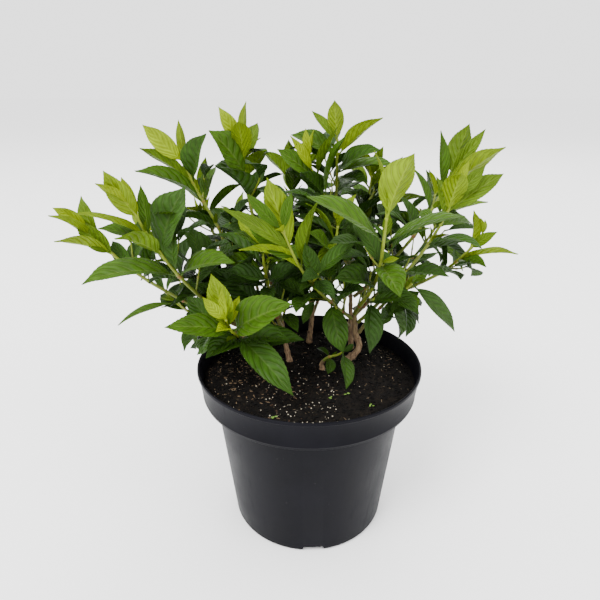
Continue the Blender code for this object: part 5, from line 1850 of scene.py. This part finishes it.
def vein_phase(t, column):
    """A whole number on each side vein, which leaves the midrib and arches towards the tip."""
    away = abs(column)
    shift = VEIN_SHIFT if column > 0.0 else 0.0
    return VEIN_COUNT * (t - VEIN_LEAN * away - VEIN_ARCH * away * away) + shift


def ring_place(ring, rings):
    """Where a ring is: its share of the blade, its share of the whole leaf, and its place in the UV map."""
    if ring < PETIOLE_RINGS:
        up = ring / PETIOLE_RINGS
        return 0.0, PETIOLE_SHARE * up, -0.1 * (1.0 - up)
    t = (ring - PETIOLE_RINGS + 0.35) / (rings - 0.1)
    return t, PETIOLE_SHARE + t * (1.0 - PETIOLE_SHARE), t


def ring_frame(leaf, t, s):
    """Point, direction, side and normal at a ring, with the leaf's own sway, droop and twist."""
    point, heading, normal = leaf_axis(leaf, s)
    side = heading.cross(normal).normalized()
    point = point + side * leaf["sway"] * leaf["length"] * t * (1.0 - t)
    point -= normal * leaf["droop"] * leaf["length"] * t * t * (1.0 - t)
    turn = Matrix.Rotation(leaf["twist"] * t, 3, heading)
    return point, heading, turn @ side, turn @ normal


def loft_faces(count, ring_size):
    """Faces of a loft with a tip corner and a cap at its foot: upper side in slot 0, the rest in slot 1."""
    faces = []
    slots = []
    for ring in range(count):
        low = ring * ring_size
        for index in range(ring_size):
            after = (index + 1) % ring_size
            if ring < count - 1:
                faces.append((low + index, low + after, low + ring_size + after, low + ring_size + index))
            else:
                faces.append((low + index, low + after, count * ring_size))
            slots.append(0 if index < len(TOP_COLUMNS) - 1 else 1)
    faces.append(tuple(reversed(range(ring_size))))
    slots.append(1)
    return faces, slots


def leaf_loft(leaf, rings):
    """Corners, faces, slots and UV pairs of a shown leaf."""
    length = leaf["length"]
    half = leaf["width"] * 0.5 * math.cos(math.radians(LEAF_FOLD))
    steep = math.tan(math.radians(leaf["fold"]))
    slim = min(1.0, length / SLIM_BELOW)
    columns = TOP_COLUMNS + UNDER_COLUMNS
    corners = []
    spots = []
    for ring in range(PETIOLE_RINGS + rings):
        t, s, v = ring_place(ring, rings)
        point, heading, side, normal = ring_frame(leaf, t, s)
        wide = max(half * blade_width(t), PETIOLE_HALF * slim * (1.0 - t))
        blade = min(1.0, wide / max(half * 0.5, 0.0001)) if t > 0.0 else 0.0
        depth = (PETIOLE_DEPTH * (1.0 - blade) + BLADE_THICKNESS * blade) * slim
        toothed = TOOTHED_PART[0] < t < TOOTHED_PART[1]
        tooth = TOOTH * length * blade * (ring % 2) if toothed else 0.0
        for index, column in enumerate(columns):
            away = abs(column)
            rise = wide * away * steep * (1.0 - HALF_ARCH * away) * (0.4 + 0.6 * blade)
            lag = RIPPLE_LAG if column > 0.0 else 0.0
            rise += wide * leaf["wave"] * math.sin(RIPPLES * t + lag + leaf["phase"]) * away * away
            between = 0.5 - 0.5 * math.cos(math.tau * vein_phase(t, column))
            rise += wide * QUILT * between * away * (1.0 - away) * 4.0 * blade
            if index >= len(TOP_COLUMNS):
                rise -= depth if away > 0.2 else depth + RIB_DEPTH * length * (1.0 - t) * blade
            spot = point + side * math.copysign(wide * away, column) + normal * rise
            if away == 1.0:
                spot += side * math.copysign(tooth, column) * TOOTH_OUT + heading * tooth * TOOTH_ONWARD
            corners.append(spot)
            spots.append((0.5 + 0.5 * column, v))
    corners.append(leaf_axis(leaf, 1.0)[0])
    spots.append((0.5, 1.0))
    faces, slots = loft_faces(PETIOLE_RINGS + rings, len(columns))
    return corners, faces, slots, spots


print("leaf blade ready")

# %% [markdown]
# Leaf finishes. A leaf is two-sided: deep green and a little glossy above, with sunken veins, and pale
# and matt below, with veins that stand out. Above, the colour is darkened along each vein's groove, a
# painted shade in the hollow. We draw the veins from the leaf's own UV map by the formula that shaped the
# blade, so relief and colour agree. The colour itself differs from leaf to leaf, not by a picture but by
# dealing each leaf to one of a few shades by its age and its mass, the mass adding painted light and shade.

# %% Leaf finishes
# Each shade: the upper side, the underside (also the upper side's veins) and the underside's veins
SHADES = {
    "lime": ((0.18, 0.25, 0.002), (0.185, 0.245, 0.005), (0.5, 0.56, 0.07)),
    "spring": ((0.125, 0.19, 0.002), (0.225, 0.295, 0.028), (0.5, 0.57, 0.13)),
    "fresh": ((0.066, 0.12, 0.002), (0.17, 0.235, 0.032), (0.38, 0.46, 0.115)),
    "green": ((0.034, 0.08, 0.003), (0.125, 0.185, 0.036), (0.26, 0.33, 0.09)),
    "deep": ((0.022, 0.057, 0.0045), (0.082, 0.13, 0.028), (0.16, 0.225, 0.062)),
    "shadow": ((0.015, 0.04, 0.004), (0.046, 0.08, 0.018), (0.075, 0.115, 0.032)),
}
UPPER_VEINS = {"lime": 0.42, "spring": 0.36, "fresh": 0.26, "green": 0.20, "deep": 0.16, "shadow": 0.14}
UNDER_VEINS = 0.85
UPPER_ROUGHNESS = 0.46
UNDER_ROUGHNESS = 0.62
LEAF_SPECULAR = 0.09
LEAF_CLOUD_SCALE = 55.0
LEAF_CLOUD_RANGE = (0.32, 0.68)
LEAF_GRAIN_SCALE = 900.0
LEAF_TONES = (0.72, 1.30)
GRAIN_SHARE = 0.25
# Painted shade: how dark the upper side is painted along each vein's groove, and how much of it
GROOVE_SHADE_TONE = 0.50
GROOVE_SHADE_SHARE = 0.55
LINE_SHARE = 1.2
LEAF_RELIEF = (0.5, 0.0016)
# Where each line ends and has faded: distances from the nearest vein, then from the midrib, then along
VEIN_EDGE = (0.03, 0.12)
GROOVE_SHADE_EDGE = (0.10, 0.30)
QUILT_EDGE = (0.0, 0.35)
RIB_EDGE = (0.035, 0.085)
MARGIN_EDGE = (0.93, 1.0)
STALK_EDGE = (-0.03, 0.02)


def vein_distance(recipe, away, right, v):
    """The formula of vein_phase in nodes, folded so that it is 0 on each vein and a half between two."""
    squared = recipe.maths("MULTIPLY", away, away)
    lean = recipe.maths("MULTIPLY_ADD", squared, VEIN_ARCH, recipe.maths("MULTIPLY", away, VEIN_LEAN))
    shift = recipe.maths("MULTIPLY", right, VEIN_SHIFT)
    phase = recipe.maths("MULTIPLY_ADD", recipe.maths("SUBTRACT", v, lean), VEIN_COUNT, shift)
    return recipe.maths("PINGPONG", phase, 0.5)


def leaf_finish(name, colour, vein_colour, rough, vein_share, sunk):
    recipe = Recipe(name, LEAF_SPECULAR)
    spot = recipe.add("ShaderNodeSeparateXYZ", Vector=recipe.coordinates("UV"))
    u, v = spot.outputs["X"], spot.outputs["Y"]
    centred = recipe.maths("SUBTRACT", u, 0.5)
    away = recipe.maths("MULTIPLY", recipe.maths("ABSOLUTE", centred), 2.0)
    apart = vein_distance(recipe, away, recipe.maths("GREATER_THAN", centred, 0.0), v)
    vein = recipe.spread(apart, *VEIN_EDGE, 1.0, 0.0)
    groove_shade = recipe.spread(apart, *GROOVE_SHADE_EDGE, 1.0, 0.0)
    rib = recipe.spread(away, *RIB_EDGE, 1.0, 0.0)
    margin = recipe.spread(away, *MARGIN_EDGE, 0.0, 0.5)
    stalk = recipe.spread(v, *STALK_EDGE, 1.0, 0.0)
    place_on = recipe.coordinates()
    cloud = recipe.noise(place_on, LEAF_CLOUD_SCALE)
    grain = recipe.noise(place_on, LEAF_GRAIN_SCALE, detail=2.0)
    speckle = recipe.maths("MULTIPLY", recipe.spread(grain, *NOISE_RANGE), GRAIN_SHARE)
    dark, light = (tint(colour, tone) for tone in LEAF_TONES)
    shade = recipe.blend(recipe.spread(cloud, *LEAF_CLOUD_RANGE), dark, light)
    shade = recipe.blend(speckle, shade, light)
    # Painted shade in the groove beside each vein
    shade = recipe.blend(recipe.maths("MULTIPLY", groove_shade, GROOVE_SHADE_SHARE), shade, tint(colour, GROOVE_SHADE_TONE))
    shade = recipe.blend(recipe.maths("MULTIPLY", vein, vein_share), shade, vein_colour)
    lines = recipe.maths("MAXIMUM", recipe.maths("MAXIMUM", rib, stalk), margin)
    shade = recipe.blend(recipe.maths("MULTIPLY", lines, vein_share * LINE_SHARE), shade, vein_colour)
    quilt = recipe.maths("MULTIPLY", recipe.spread(apart, *QUILT_EDGE), sunk)
    normal = recipe.relief(recipe.maths("MULTIPLY_ADD", grain, GRAIN_SHARE, quilt), *LEAF_RELIEF)
    return recipe.finish(shade, rough, normal)


SHADE_NAMES = list(SHADES)
FINISHES = {}
for shade_name, (upper, under, veins) in SHADES.items():
    FINISHES[shade_name] = [
        leaf_finish("leaf_" + shade_name, upper, under, UPPER_ROUGHNESS, UPPER_VEINS[shade_name], 1.0),
        leaf_finish("underleaf_" + shade_name, under, veins, UNDER_ROUGHNESS, UNDER_VEINS, -1.0)]
print("leaf shades:", ", ".join(SHADE_NAMES))

# %% [markdown]
# Dealing the shades. Young leaves at a shoot's tip are lime, full-grown ones fresh green, and the oldest
# ones deep green. Small leaves inside the crown are dealt darker still, a painted shade. A mass near the
# light is dealt a shade lighter than one at the back, which paints light and shade on the crown. The drawn
# leaves of the front are told their shade one by one, because there the picture shows each, so their
# shades hold painted light and shade as well as each leaf's own green.

# %% Deal the shades and join the leaves
# Painted light and shade: how much lighter a mass near the light is dealt, or darker one at the back or
# inside
MASS_PAINTED_LIGHT = {
    "leaves_front_left": 0.10, "leaves_front_right": 0.16, "leaves_front_centre": 0.14, "leaves_left": 0.08,
    "leaves_far_left": 0.10, "leaves_upper_left": 0.10, "leaves_top_left": 0.10, "leaves_top_centre": 0.06,
    "leaves_top": 0.12, "leaves_right": 0.14, "leaves_far_right": 0.10, "leaves_low_right": 0.02,
    "leaves_sucker": -0.45, "leaves_centre": -0.10, "leaves_inner_right": -0.08, "leaves_low_left": -0.06,
}
# Each drawn leaf's shade as it looks in place: painted light and shade as well as the leaf's own green
DRAWN_SHADES = {
    "leaves_front_left": {
        "lime": ((2, 1), (3, 0), (3, 1), (1.5, 0)), "spring": ((2, 0),), "green": ((1, 0), (1, 1)),
        "deep": ((0, 0), (0, 1))},
    "leaves_front_centre": {
        "spring": ((3, 0), (2, 0)), "fresh": ((2, 1), (3, 1)), "green": ((4, 1), (4, 0), (2.5, 1), (1, 0)),
        "deep": ((0, 0), (0, 1), (1, 1))},
    "leaves_front_right": {
        "spring": ((3, 0), (3, 1)), "green": ((2, 0), (2, 1), (1, 0)), "deep": ((1, 1), (0, 0), (0, 1))},
    "leaves_left": {
        "lime": ((3, 1), (4, 0)), "spring": ((3, 0), (2, 0)), "fresh": ((1, 0), (4, 1)),
        "green": ((2, 1), (1.6, 0), (0, 0), (0, 1)), "deep": ((0.1, 1), (1, 1))},
    "leaves_far_left": {
        "spring": ((2, 0), (3, 0), (1, 0)), "fresh": ((1, 1), (2, 1)), "deep": ((0, 0), (0, 1))},
    "leaves_upper_left": {
        "lime": ((3, 0),), "spring": ((3, 1), (2.5, 1)), "fresh": ((2, 0),), "green": ((1, 0), (1, 1)),
        "deep": ((2, 1), (0, 0), (0, 1))},
    "leaves_top_left": {
        "lime": ((3, 0),), "spring": ((3, 1), (2, 0)), "fresh": ((2, 1), (1, 1)), "green": ((1, 0),),
        "deep": ((0, 0), (0, 1))},
    "leaves_top_centre": {
        "lime": ((3, 0), (3, 1), (2.4, 0)), "green": ((2, 0), (1, 0)), "deep": ((0, 0), (1, 1))},
    "leaves_top": {
        "spring": ((3, 0), (2, 1)), "fresh": ((3, 1),), "green": ((2, 0), (1, 1)),
        "deep": ((1, 0), (0.6, 0), (0, 0), (0, 1))},
    "leaves_upper_right": {
        "spring": ((2, 1),), "fresh": ((3, 0), (3, 1)), "green": ((2, 0), (1, 0)), "deep": ((0, 0), (0, 1))},
    "leaves_right": {
        "lime": ((3, 1),), "spring": ((2, 0),), "fresh": ((2, 1), (3, 0), (1.5, 1)),
        "green": ((1, 0), (1, 1)), "deep": ((0, 1), (0, 0))},
    "leaves_far_right": {
        "spring": ((1, 0), (2, 0), (3, 0), (3, 1)), "fresh": ((2, 1),), "green": ((1, 1),),
        "deep": ((0, 0), (0, 1))},
    "leaves_low_right": {"deep": ((0, 0), (0, 1), (1, 1), (2, 1)), "green": ((1, 0), (2, 0))},
    "leaves_low_left": {"deep": ((1, 0), (3, 0), (3, 1), (0, 0)), "green": ((2, 0), (0, 1), (2, 1), (1, 1))},
    "leaves_sucker": {"deep": ((0, 0), (0, 1), (1, 0), (1, 1))},
}
# A leaf's tone grows with its age up the shoot, and each shade starts at a tone
SHADE_STOPS = (0.90, 0.71, 0.48, 0.26, 0.02)
OLDEST_TONE = 0.12
TONE_GROWTH = 0.62
TONE_JITTER = 0.16
# Painted shade: how much darker the small leaves inside the crown are dealt
INNER_PAINTED_SHADE = 0.20
LARGE_LEAF = 0.030
LARGE_RINGS = 36
SMALL_RINGS = 14
LEAF_SHARP = 60.0
# A leaf's character: fold in degrees, place and height of its ripple, then sway, droop and twist, which
# are kept small on the leaves whose tip is placed
FOLDS = (23.0, 43.0)
WAVES = (0.04, 0.16)
SWAYS = (-0.24, 0.24)
DROOPS = (-0.10, 0.35)
TWISTS = (-0.40, 0.40)
AIMED_FREEDOM = 0.3
FREEDOM = 0.8


def shade_of(leaf, chance):
    if "shade" in leaf:
        return leaf["shade"]
    for shade, drawn in DRAWN_SHADES.get(leaf["mass"], {}).items():
        if leaf["drawn"] in drawn:
            return shade
    # The mass adds painted light and shade to the leaf's tone
    tone = OLDEST_TONE + TONE_GROWTH * leaf["age"] + MASS_PAINTED_LIGHT.get(leaf["mass"], 0.0)
    tone += chance.uniform(-TONE_JITTER, TONE_JITTER)
    # Painted shade inside the crown
    if leaf["drawn"] is None and leaf["age"] < 0.5:
        tone -= INNER_PAINTED_SHADE
    for shade, stop in zip(SHADE_NAMES, SHADE_STOPS):
        if tone > stop:
            return shade
    return SHADE_NAMES[-1]


def give_character(leaf, chance):
    """What makes each leaf its own: how it folds, ripples, sways, droops and twists."""
    free = AIMED_FREEDOM if leaf["aimed"] else FREEDOM
    leaf["fold"] = chance.uniform(*FOLDS)
    leaf["phase"] = chance.uniform(0.0, math.tau)
    leaf["wave"] = chance.uniform(*WAVES)
    leaf["sway"] = chance.uniform(*SWAYS) * free
    leaf["droop"] = chance.uniform(*DROOPS) * free
    leaf["twist"] = chance.uniform(*TWISTS) * free


deal = random.Random(FINE_SEED + 1)
heaps = {shade: Gathered() for shade in SHADE_NAMES}
held = {shade: set() for shade in SHADE_NAMES}
for shoot in shoots:
    for leaf in shoot["leaves"]:
        shade = shade_of(leaf, deal)
        give_character(leaf, deal)
        rings = LARGE_RINGS if leaf["length"] > LARGE_LEAF else SMALL_RINGS
        heaps[shade].add(*leaf_loft(leaf, rings))
        held[shade].add(leaf["mass"])
for shade, heap in heaps.items():
    if heap.faces:
        foliage = heap.piece("foliage_" + shade, sharp=LEAF_SHARP)
        dress(foliage, FINISHES[shade], sorted(held[shade]))
        print(shade, "leaves:", len(heap.faces), "faces")
